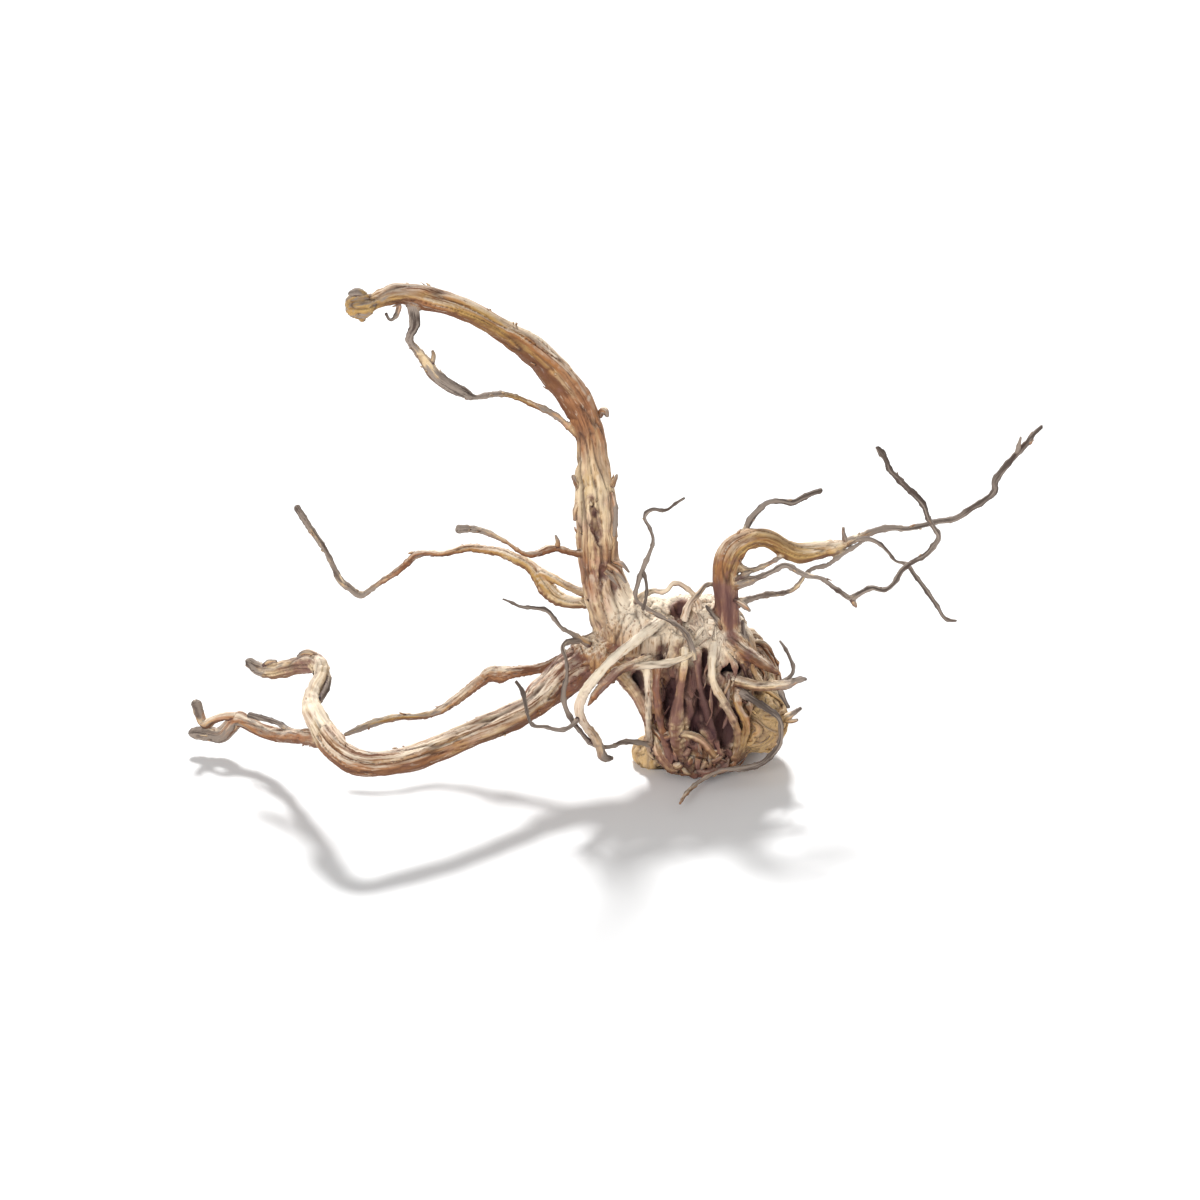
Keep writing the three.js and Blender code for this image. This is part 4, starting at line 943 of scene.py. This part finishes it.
# %% Shreds that show in front
# Lines as the limbs have, for the shreds that show on the trunk's edges and at its foot.
SEEN_SHREDS = {
    "edge_high": [(-60, 136, 11, 1.6), (-62, 140, 8, 1.6), (-63.5, 144, 6, 0.9)],
    "edge_low": [(-60.5, 131.5, 9, 1.5), (-62.4, 127, 7, 1.7), (-62.6, 122, 7, 1)],
    "edge_bit": [(-44, 139, 8, 1.6), (-42.4, 142, 7, 1.5), (-41.6, 144.5, 6, 0.9)],
    "long_flake": [(-44, 136, 7, 1.2), (-42.4, 129, 5, 1.9), (-42.2, 121, 4, 2), (-42.8, 114, 3, 1.2)],
    "foot_shred": [(-45.5, 99.5, 1, 1.8), (-41, 96, -4, 1.9), (-37, 91, -7, 1)],
    "foot_shred_low": [(-47, 96, 0, 1.6), (-43, 92.5, -6, 1.7), (-40, 88, -8, 0.9)],
    "foot_shred_top": [(-43, 101, 2, 1.6), (-38.5, 99.5, -2, 1.6), (-35.5, 96, -4, 0.9)],
    "knuckle": [(-50, 174, 12, 2), (-47.5, 176.5, 10, 2.2), (-46.6, 174, 9, 1.4)],
    "mid_limb_bud": [(-71.5, 107.5, 1, 1.6), (-71, 111.5, -1, 1.4), (-72, 114, -2, 0.9)],
    "loop_bud": [(-134.5, 200, -22, 1.8), (-133, 204, -23, 1.5), (-133.5, 206.5, -24, 0.9)],
    "fork_flake": [(-219.5, 46.5, -5, 1.6), (-215.5, 51, -9, 1.5), (-212, 51.5, -11, 0.9)],
    "knob_cap": [(-192, 54, -25, 2), (-196.5, 55.8, -25, 2), (-201, 53.6, -22, 1.4)],
    "stem_knot": [(17, 82, -8, 2), (21, 80, -11, 2.2), (25, 76.5, -12, 1.4)],
    "stem_knot_high": [(18, 92, -8, 1.8), (22, 94.5, -10, 1.9), (25.5, 96.5, -10, 1.2)],
    "far_bud": [(158, 154.5, 37, 1.8), (159.5, 160, 35, 1.5), (160.5, 163.5, 34, 0.9)],
    "elbow_bud": [(75, 83.5, -32, 1.8), (77, 80.5, -33, 1.4), (78, 78.5, -33, 0.8)],
    "twig_bud": [(73, 110.5, 19, 1.7), (71.8, 115, 17, 1.4), (71.6, 118, 16, 0.9)],
}
for name, line in SEEN_SHREDS.items():
    add_shred(name, stations_of(line), {"grey": (0.2, 0.6, 0.6), "rust": (0.5,)})
print("Thin pieces:", len(heap["thin"]))

# %% [markdown]
# ## One skin
# A voxel remesh throws away everything inside and leaves one skin over lumps, stem, limbs and stout
# roots. A little smoothing rounds the creases where limbs meet, as the wood that grew over them does.

# %% Remeshing the thick wood
VOXEL = 0.74 * MM
body = join([lumps] + heap["thick"], "driftwood_body")
apply_modifier(body, "REMESH", mode="VOXEL", voxel_size=VOXEL)
apply_modifier(body, "SMOOTH", factor=0.5, iterations=3)
print("The body's skin:", triangles_in(body), "triangles")
twigs = join(heap["thin"], "driftwood_twigs")
print("Twigs and fine roots:", triangles_in(twigs), "triangles")

# %% [markdown]
# ## Finding the grain
# Grain runs along each limb. So every point of the skin looks for the middle line that it lies nearest
# to, counted from that limb's own surface, and notes its place there: two numbers across the grain and
# one along it. Far from any limb, on the bare lumps, the grain stands upright. The same search reads the
# limb's stains. Damp spreads from the rotted hollows into what lies round them, and the top of the crown
# is made pale: sun bleaching, and a painted highlight for the light from above.

# %% Grain and stains at each point
LINES = {
    key: np.concatenate([line[key] for line in middle_lines])
    for key in ("places", "radii", "ahead", "side", "over", "along", *STAINS)
}
BARE_LUMP = 2.6 * MM
BARE_WOOD = {"radii": 12 * MM, "grey": 0.05, "rust": 0.3, "damp": 0.25, "ochre": 0.15, "pale": 0, "soak": 1}
OCHRE_LUMPS = ("burl", "toe")
BLEACHED_AND_LIT_TOP = ((-4, -3, 92), (34, 34, 26))
ROT_REACH = 1.6
OCHRE_REACH = 1.5
OCHRE_FULLNESS = 1.6
TOP_REACH = 1.4
BATCH = 3000


def nearness(places, shape, reach):
    """1 inside an ellipsoid, and less outside it, down to 0 at this many times its size."""
    at, radii = shape
    away = np.linalg.norm((places / MM - at) / np.array(radii), axis=1)
    return np.clip((reach - away) / (reach - 1), 0, 1)


def read_grain(places):
    nearest = np.empty(len(places), dtype=int)
    gap = np.empty(len(places))
    squares = (LINES["places"] ** 2).sum(axis=1)
    for first in range(0, len(places), BATCH):
        part = places[first : first + BATCH].astype(float)
        far = (part**2).sum(axis=1)[:, None] + squares - 2 * part @ LINES["places"].T
        far = np.sqrt(np.maximum(far, 0)) - LINES["radii"]
        nearest[first : first + BATCH] = far.argmin(axis=1)
        gap[first : first + BATCH] = far.min(axis=1)
    offset = places - LINES["places"][nearest]
    found = {key: LINES[key][nearest] for key in ("radii", *STAINS)}
    across = (offset * LINES["side"][nearest]).sum(axis=1)
    over = (offset * LINES["over"][nearest]).sum(axis=1)
    along = LINES["along"][nearest] + (offset * LINES["ahead"][nearest]).sum(axis=1)
    found["grain"] = np.stack((across, over, along), axis=1) / MM
    bare = gap > BARE_LUMP
    found["grain"][bare] = places[bare] / MM
    for key, value in BARE_WOOD.items():
        found[key][bare] = value
    rot = np.max([nearness(places, shape, ROT_REACH) for shape in HOLLOWS.values()], axis=0)
    yellow = np.max([nearness(places, LUMPS[name], OCHRE_REACH) for name in OCHRE_LUMPS], axis=0)
    yellow = np.minimum(1, OCHRE_FULLNESS * yellow)
    # The crown's top is made pale: sun bleaching, and a painted highlight.
    top = nearness(places, BLEACHED_AND_LIT_TOP, TOP_REACH) * (found["soak"] > 0) * (1 - rot)
    found["damp"] = np.maximum(found["damp"] * (1 - yellow) * (1 - top), rot * found["soak"])
    found["grey"] = found["grey"] * (1 - 0.8 * yellow)
    found["rust"] = found["rust"] * (1 - 0.5 * yellow)
    found["ochre"] = np.maximum(found["ochre"], 0.9 * yellow)
    found["pale"] = np.maximum(found["pale"], np.maximum(top, 0.18 * yellow))
    return found


print("Samples on the middle lines:", len(LINES["radii"]))

# %% [markdown]
# ## Carving the grain
# The soft wood between the grain lines has washed out, so the skin is ridged along the limbs, with a few
# deep drying cracks. Displacement by noise does this if the noise is stretched along the grain, ten
# times longer than it is wide. The section itself isn't round either: slow flutes wind along it, and
# thin twigs thicken at a knot every 8 mm or so, where leaves stood.

# %% Furrows, flutes, cracks and pits
def layer(places, widths):
    """Noise whose blobs are this wide, in millimetres, across, over and along."""
    return np.array([noise.noise(point) for point in (places / np.array(widths)).tolist()])


KNOT_SPACING = 8.5
THICKEST_KNOTTED = 2.8


def carve(piece, found):
    """Carves the skin, and returns how deep in a furrow and in a crack each point lies."""
    places, normals = places_of(piece), normals_of(piece)
    across, over, along = found["grain"].T
    radius = found["radii"] / MM
    angle = np.arctan2(over, across)
    flute = 0.09 * np.sin(3 * angle + along / (2.1 * radius)) + 0.05 * np.sin(5 * angle - along / 23)
    swelling = 0.05 * np.sin(along / (1.7 * radius)) + 0.03 * np.sin(along / 3.1)
    size = np.minimum(radius, 9)
    wide = layer(found["grain"], (3, 3, 34))
    narrow = layer(found["grain"] + 40, (1.5, 1.5, 19))
    crack = layer(found["grain"] + 90, (6, 6, 60))
    knob = layer(places / MM, (7, 7, 7))
    pit = layer(places / MM + 30, (3.6, 3.6, 3.6))
    rise = 0.55 * size * (flute + swelling)
    rise += 0.085 * size * wide + 0.07 * size * narrow
    rise -= 0.13 * size * np.clip(1 - np.abs(crack) / 0.05, 0, 1) ** 0.7
    rise += 0.07 * size * knob
    rise -= 0.11 * size * np.clip(pit - 0.32, 0, 1) * 2
    thin = np.clip(1 - radius / THICKEST_KNOTTED, 0, 1)
    from_knot = KNOT_SPACING * ((along / KNOT_SPACING) % 1 - 0.5)
    rise += radius * thin * (0.55 * np.exp(-((from_knot / 1.1) ** 2)) + 0.9 * narrow)
    move_to(piece, places + normals * (rise * MM)[:, None])
    furrow = np.clip(-2.6 * (0.9 * wide + 0.7 * narrow) - 0.15, 0, 1)
    return furrow, np.clip(1 - np.abs(crack) / 0.07, 0, 1)


def softened(piece, values, rounds):
    """Moves each point's value towards its neighbours', so that stains run into each other."""
    ends = np.empty(2 * len(piece.data.edges), dtype=np.int32)
    piece.data.edges.foreach_get("vertices", ends)
    a, b = ends.reshape(-1, 2).T
    size = len(values)
    neighbours = np.bincount(a, minlength=size) + np.bincount(b, minlength=size)
    for _ in range(rounds):
        total = np.bincount(a, values[b], size) + np.bincount(b, values[a], size)
        values = 0.5 * values + 0.5 * total / np.maximum(neighbours, 1)
    return values


def keep_attribute(piece, name, values, kind="FLOAT"):
    attribute = piece.data.attributes.new(name, kind, "POINT")
    key = "vector" if kind == "FLOAT_VECTOR" else "value"
    attribute.data.foreach_set(key, np.asarray(values, dtype=np.float32).ravel())


SOFTENING_ROUNDS = 40
for piece in (body, twigs):
    found = read_grain(places_of(piece))
    furrow, crack = carve(piece, found)
    keep_attribute(piece, "grain", found["grain"], "FLOAT_VECTOR")
    for stain in ("grey", "rust", "damp", "ochre", "pale"):
        keep_attribute(piece, stain, softened(piece, found[stain], SOFTENING_ROUNDS))
    keep_attribute(piece, "furrow", furrow)
    keep_attribute(piece, "crack", crack)
    print("Carved", len(piece.data.vertices), "points of", piece.name)

# %% [markdown]
# ## The foot
# The piece stands on a small flat spot, where its crown was sawn off or worn. A bisect at the floor's
# height makes it flat and fills the cut.

# %% Flattening the foot
select_only(body)
bpy.ops.object.mode_set(mode="EDIT")
bpy.ops.mesh.select_all(action="SELECT")
bpy.ops.mesh.bisect(plane_co=(0, 0, 0), plane_no=(0, 0, 1), clear_inner=True, use_fill=True)
bpy.ops.object.mode_set(mode="OBJECT")
MOST_TRIANGLES = 190000
apply_modifier(body, "DECIMATE", ratio=MOST_TRIANGLES / triangles_in(body))
EDGE = 0.15 * MM
LOWEST = np.array(CAD_BOX[0]) + (EDGE, EDGE, 0)
HIGHEST = np.array(CAD_BOX[1]) - EDGE
for piece in (body, twigs):
    move_to(piece, np.clip(places_of(piece), LOWEST, HIGHEST))
print("Body after the cut:", triangles_in(body), "triangles")

# %% [markdown]
# ## Where it is hollow
# The hollows are painted darker by how enclosed they are: mauve rot, and painted shade that turns near
# black in their depth, while open wood stays light. How hollow a place is can be felt with rays: out of a
# point in a pit, most of them soon hit wood. A sample of the points is enough, and the others take the
# average of their neighbours.

# %% Feeling for hollows
FEEL_LENGTH = 16 * MM
FEEL_RAYS = 28
GOLDEN = math.pi * (3 - math.sqrt(5))


def ray_fan():
    fan = []
    for i in range(2 * FEEL_RAYS):
        height = 1 - (2 * i + 1) / (2 * FEEL_RAYS)
        ring = math.sqrt(1 - height * height)
        fan.append(Vector((ring * math.cos(GOLDEN * i), ring * math.sin(GOLDEN * i), height)))
    return fan


def feel_hollows(piece, tree, every):
    places, normals = places_of(piece), normals_of(piece)
    felt = KDTree(len(places) // every + 1)
    shares = []
    fan = ray_fan()
    for i in range(0, len(places), every):
        place, normal = Vector(places[i]), Vector(normals[i])
        start = place + normal * 0.5 * MM
        open_rays = [ray for ray in fan if ray.dot(normal) > 0.15]
        if not open_rays:
            continue
        blocked = sum(1 for ray in open_rays if tree.ray_cast(start, ray, FEEL_LENGTH)[0])
        felt.insert(place, len(shares))
        shares.append(blocked / len(open_rays))
    felt.balance()
    near = [[shares[index] for _, index, _ in felt.find_n(Vector(place), 5)] for place in places]
    return np.array(near).mean(axis=1)


bpy.context.view_layer.update()
body_tree = BVHTree.FromObject(body, bpy.context.evaluated_depsgraph_get())
for piece in (body, twigs):
    # How enclosed each point is; the shader darkens the wood by it as painted shade.
    hollow = feel_hollows(piece, body_tree, 8)
    keep_attribute(piece, "hollow", hollow)
    # Which way each point faces, up or down; the shader paints highlight on top and shade underneath by it.
    keep_attribute(piece, "facing", normals_of(piece)[:, 2])
    most, mean = round(float(hollow.max()), 2), round(float(hollow.mean()), 2)
    print(piece.name, "is most hollow at", most, "mean", mean)

# %% [markdown]
# ## The wood's finish
# This is the root wood of a shrub: dense, fine-grained, dry and unsealed. Bare dry wood is rough and
# dull, so its roughness is about 0.8, with wood's index of refraction of 1.53. Its colour comes in
# layers: cream wood with tan heartwood, yellow and orange-brown stains in streaks along the grain, darker
# furrows, an upper side made paler by sun bleaching and painted highlight, an underside made browner by
# its own colour and painted shade, grey-brown skin on the twigs, mauve rot round the hollows with painted
# shade that turns near black in their depth, and dark cracks. Each stain's strength says how much of the
# wood it covers.

# %% Colours and one node helper
def linear(hex_colour):
    """An sRGB hex colour as the linear one that the shader wants."""
    channels = [int(hex_colour[i : i + 2], 16) / 255 for i in (1, 3, 5)]
    return [c / 12.92 if c <= 0.04045 else ((c + 0.055) / 1.055) ** 2.4 for c in channels] + [1]


# SUN_WHITE_AND_HIGHLIGHT and BLEACHED_AND_HIGHLIGHT serve sun-bleached wood and painted highlight,
# UNDERSIDE_BROWN_AND_SHADE a brown underside and painted shade, DAMP_DARK_AND_HOLLOW_SHADE and
# HOLLOW_PAINTED_SHADE rot and painted shade in the hollows.
SUN_WHITE_AND_HIGHLIGHT = linear("#FFF1DA")
BLEACHED_AND_HIGHLIGHT = linear("#F8E9D2")
CREAM = linear("#E9CDA2")
TAN = linear("#C69A6A")
PINKISH_TAN = linear("#CC9F86")
OCHRE = linear("#BC9347")
ORANGE_BROWN = linear("#A3673A")
STREAK_BROWN = linear("#643A20")
UNDERSIDE_BROWN_AND_SHADE = linear("#63391A")
TWIG_SKIN = linear("#938478")
TWIG_DARK = linear("#54473F")
DAMP_MAUVE = linear("#80584F")
DAMP_DARK_AND_HOLLOW_SHADE = linear("#472629")
HOLLOW_PAINTED_SHADE = linear("#1C0E12")
CRACK_DARK = linear("#3B2318")


def add_node(tree, kind, settings=None, inputs=None):
    """Adds a node. Settings are its own fields. Inputs are constants, or sockets to link from."""
    node = tree.nodes.new(kind)
    for key, value in (settings or {}).items():
        setattr(node, key, value)
    for key, value in (inputs or {}).items():
        if isinstance(value, bpy.types.NodeSocket):
            tree.links.new(value, node.inputs[key])
        else:
            node.inputs[key].default_value = value
    return node


# %% Weathered root wood
wood = bpy.data.materials.new("weathered_root_wood")
wood.use_nodes = True
tree = wood.node_tree
tree.nodes.clear()
grain = add_node(tree, "ShaderNodeAttribute", {"attribute_name": "grain"}).outputs["Vector"]
marks = {
    name: add_node(tree, "ShaderNodeAttribute", {"attribute_name": name}).outputs["Fac"]
    for name in ("grey", "rust", "damp", "ochre", "pale", "furrow", "crack", "hollow", "facing")
}
in_metres = add_node(tree, "ShaderNodeTexCoord").outputs["Object"]


def blotches(width):
    """Noise whose blots are this wide, in metres, whichever way the grain runs."""
    return add_node(
        tree,
        "ShaderNodeTexNoise",
        inputs={"Vector": in_metres, "Scale": 1 / width, "Detail": 4, "Roughness": 0.6},
    ).outputs["Fac"]


def stretched(across, along, shift=0):
    """Noise whose marks are this wide and this long, in millimetres, on the grain."""
    shape = add_node(
        tree,
        "ShaderNodeVectorMath",
        {"operation": "MULTIPLY_ADD"},
        {0: grain, 1: (1 / across, 1 / across, 1 / along), 2: (shift, shift, shift)},
    )
    return add_node(
        tree,
        "ShaderNodeTexNoise",
        inputs={"Vector": shape.outputs[0], "Scale": 1, "Detail": 5, "Roughness": 0.62, "Distortion": 0.3},
    ).outputs["Fac"]


patches = blotches(26 * MM)
flush = blotches(15 * MM)
rot = blotches(6 * MM)
rusty = stretched(5, 46)
yellow = stretched(6, 38, shift=20)
peeling = stretched(2.2, 13, shift=40)
streaks = stretched(1.4, 30, shift=60)
flecks = stretched(1.3, 9, shift=80)
fibres = stretched(0.6, 14)
print("Noise layers: patches, flush, rot, rusty, yellow, peeling, streaks, flecks and fibres")


# %% Layers of colour
def between(value, low, high, strength=1):
    """0 below low, strength above high, smooth between."""
    return add_node(
        tree,
        "ShaderNodeMapRange",
        {"interpolation_type": "SMOOTHSTEP"},
        {"Value": value, "From Min": low, "From Max": high, "To Min": 0, "To Max": strength},
    ).outputs["Result"]


def times(a, b):
    return add_node(tree, "ShaderNodeMath", {"operation": "MULTIPLY"}, {0: a, 1: b}).outputs[0]


def plus(a, b):
    return add_node(tree, "ShaderNodeMath", {"operation": "ADD"}, {0: a, 1: b}).outputs[0]


def layered(below, above, factor):
    mix = add_node(tree, "ShaderNodeMix", {"data_type": "RGBA"}, {"Factor": factor})
    for socket, colour in zip((6, 7), (below, above)):
        if isinstance(colour, bpy.types.NodeSocket):
            tree.links.new(colour, mix.inputs[socket])
        else:
            mix.inputs[socket].default_value = colour
    return mix.outputs[2]


def covered(noise, strength, edge=0.08, most=1):
    """A stain that covers about this share of the wood, where the noise is highest, with a soft edge."""
    level = plus(noise, times(plus(strength, -0.5), 0.62))
    return between(level, 0.5 - edge, 0.5 + edge, most)


colour = layered(CREAM, TAN, between(patches, 0.4, 0.62))
colour = layered(colour, PINKISH_TAN, between(flush, 0.5, 0.62, 0.7))
colour = layered(colour, OCHRE, covered(yellow, marks["ochre"], 0.12, 0.8))
colour = layered(colour, ORANGE_BROWN, covered(rusty, marks["rust"], 0.1, 0.85))
not_golden = between(marks["ochre"], 0.95, 0.6)
# Painted highlight: wood that faces upwards is made paler, which stands for sun bleaching and for the light
# from above.
lit_top_and_bleach = times(between(marks["facing"], 0.1, 0.72), between(streaks, 0.66, 0.4, 0.86))
colour = layered(colour, BLEACHED_AND_HIGHLIGHT, times(lit_top_and_bleach, not_golden))
# Painted shade: wood that faces downwards is made browner and darker, partly its own colour and partly the
# shade under it.
colour = layered(colour, UNDERSIDE_BROWN_AND_SHADE, times(between(marks["facing"], 0.18, -0.55, 0.9), not_golden))
colour = layered(colour, STREAK_BROWN, times(between(streaks, 0.52, 0.64, 0.85), plus(marks["rust"], 0.25)))
colour = layered(colour, BLEACHED_AND_HIGHLIGHT, between(flecks, 0.42, 0.32, 0.35))
colour = layered(colour, STREAK_BROWN, times(between(flecks, 0.57, 0.65, 0.95), plus(marks["rust"], 0.2)))
colour = layered(colour, STREAK_BROWN, times(marks["furrow"], 0.55))
# Sun bleaching and painted highlight: where the pale mark is strong, the wood goes near white.
colour = layered(colour, SUN_WHITE_AND_HIGHLIGHT, times(marks["pale"], between(flecks, 0.66, 0.5, 0.85)))
colour = layered(colour, TWIG_SKIN, covered(peeling, marks["grey"]))
colour = layered(colour, TWIG_DARK, covered(streaks, plus(marks["grey"], -0.35)))
colour = layered(colour, DAMP_MAUVE, covered(rot, marks["damp"], 0.16, 0.85))
colour = layered(colour, DAMP_DARK_AND_HOLLOW_SHADE, covered(rusty, plus(marks["damp"], -0.3), 0.14, 0.75))
colour = layered(colour, CRACK_DARK, times(marks["crack"], 0.75))
# Painted shade: the more enclosed a place is, the darker it is painted, dark mauve first and near black in
# the depth of the hollows.
colour = layered(colour, DAMP_DARK_AND_HOLLOW_SHADE, between(marks["hollow"], 0.38, 0.64, 0.85))
colour = layered(colour, HOLLOW_PAINTED_SHADE, between(marks["hollow"], 0.6, 0.85, 0.95))

height = plus(times(streaks, 0.7), times(fibres, 0.5))
relief = add_node(tree, "ShaderNodeBump", inputs={"Strength": 0.7, "Distance": 0.35 * MM, "Height": height})
roughness = add_node(
    tree,
    "ShaderNodeMapRange",
    inputs={"Value": fibres, "From Min": 0.2, "From Max": 0.8, "To Min": 0.72, "To Max": 0.9},
)
surface = add_node(
    tree,
    "ShaderNodeBsdfPrincipled",
    inputs={
        "Base Color": colour,
        "Roughness": roughness.outputs["Result"],
        "IOR": 1.53,
        "Normal": relief.outputs["Normal"],
    },
)
add_node(tree, "ShaderNodeOutputMaterial", inputs={"Surface": surface.outputs["BSDF"]})
print("Wood:", len(tree.nodes), "nodes")

# %% [markdown]
# ## White paper
# The ground is matt white paper, bright enough that only the shadows show on it.

# %% Paper
paper = bpy.data.materials.new("matt_white_paper")
paper.use_nodes = True
sheet = paper.node_tree.nodes["Principled BSDF"]
sheet.inputs["Base Color"].default_value = linear("#FAFAFA")
sheet.inputs["Roughness"].default_value = 1
sheet.inputs["Specular IOR Level"].default_value = 0
floor.data.materials.append(paper)

# %% [markdown]
# ## Putting it on its body
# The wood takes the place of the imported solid, which stays for the physics. Both pieces ride on the one
# body.

# %% Finishing the pieces
PIECES = {"driftwood_body": body, "driftwood_twigs": twigs}
for name, piece in PIECES.items():
    piece.name = name
    settle(piece)
    bpy.ops.object.shade_smooth()
    piece.data.materials.clear()
    piece.data.materials.append(wood)
    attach(piece, "root")
    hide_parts("driftwood")
    print(name, triangles_in(piece), "triangles")
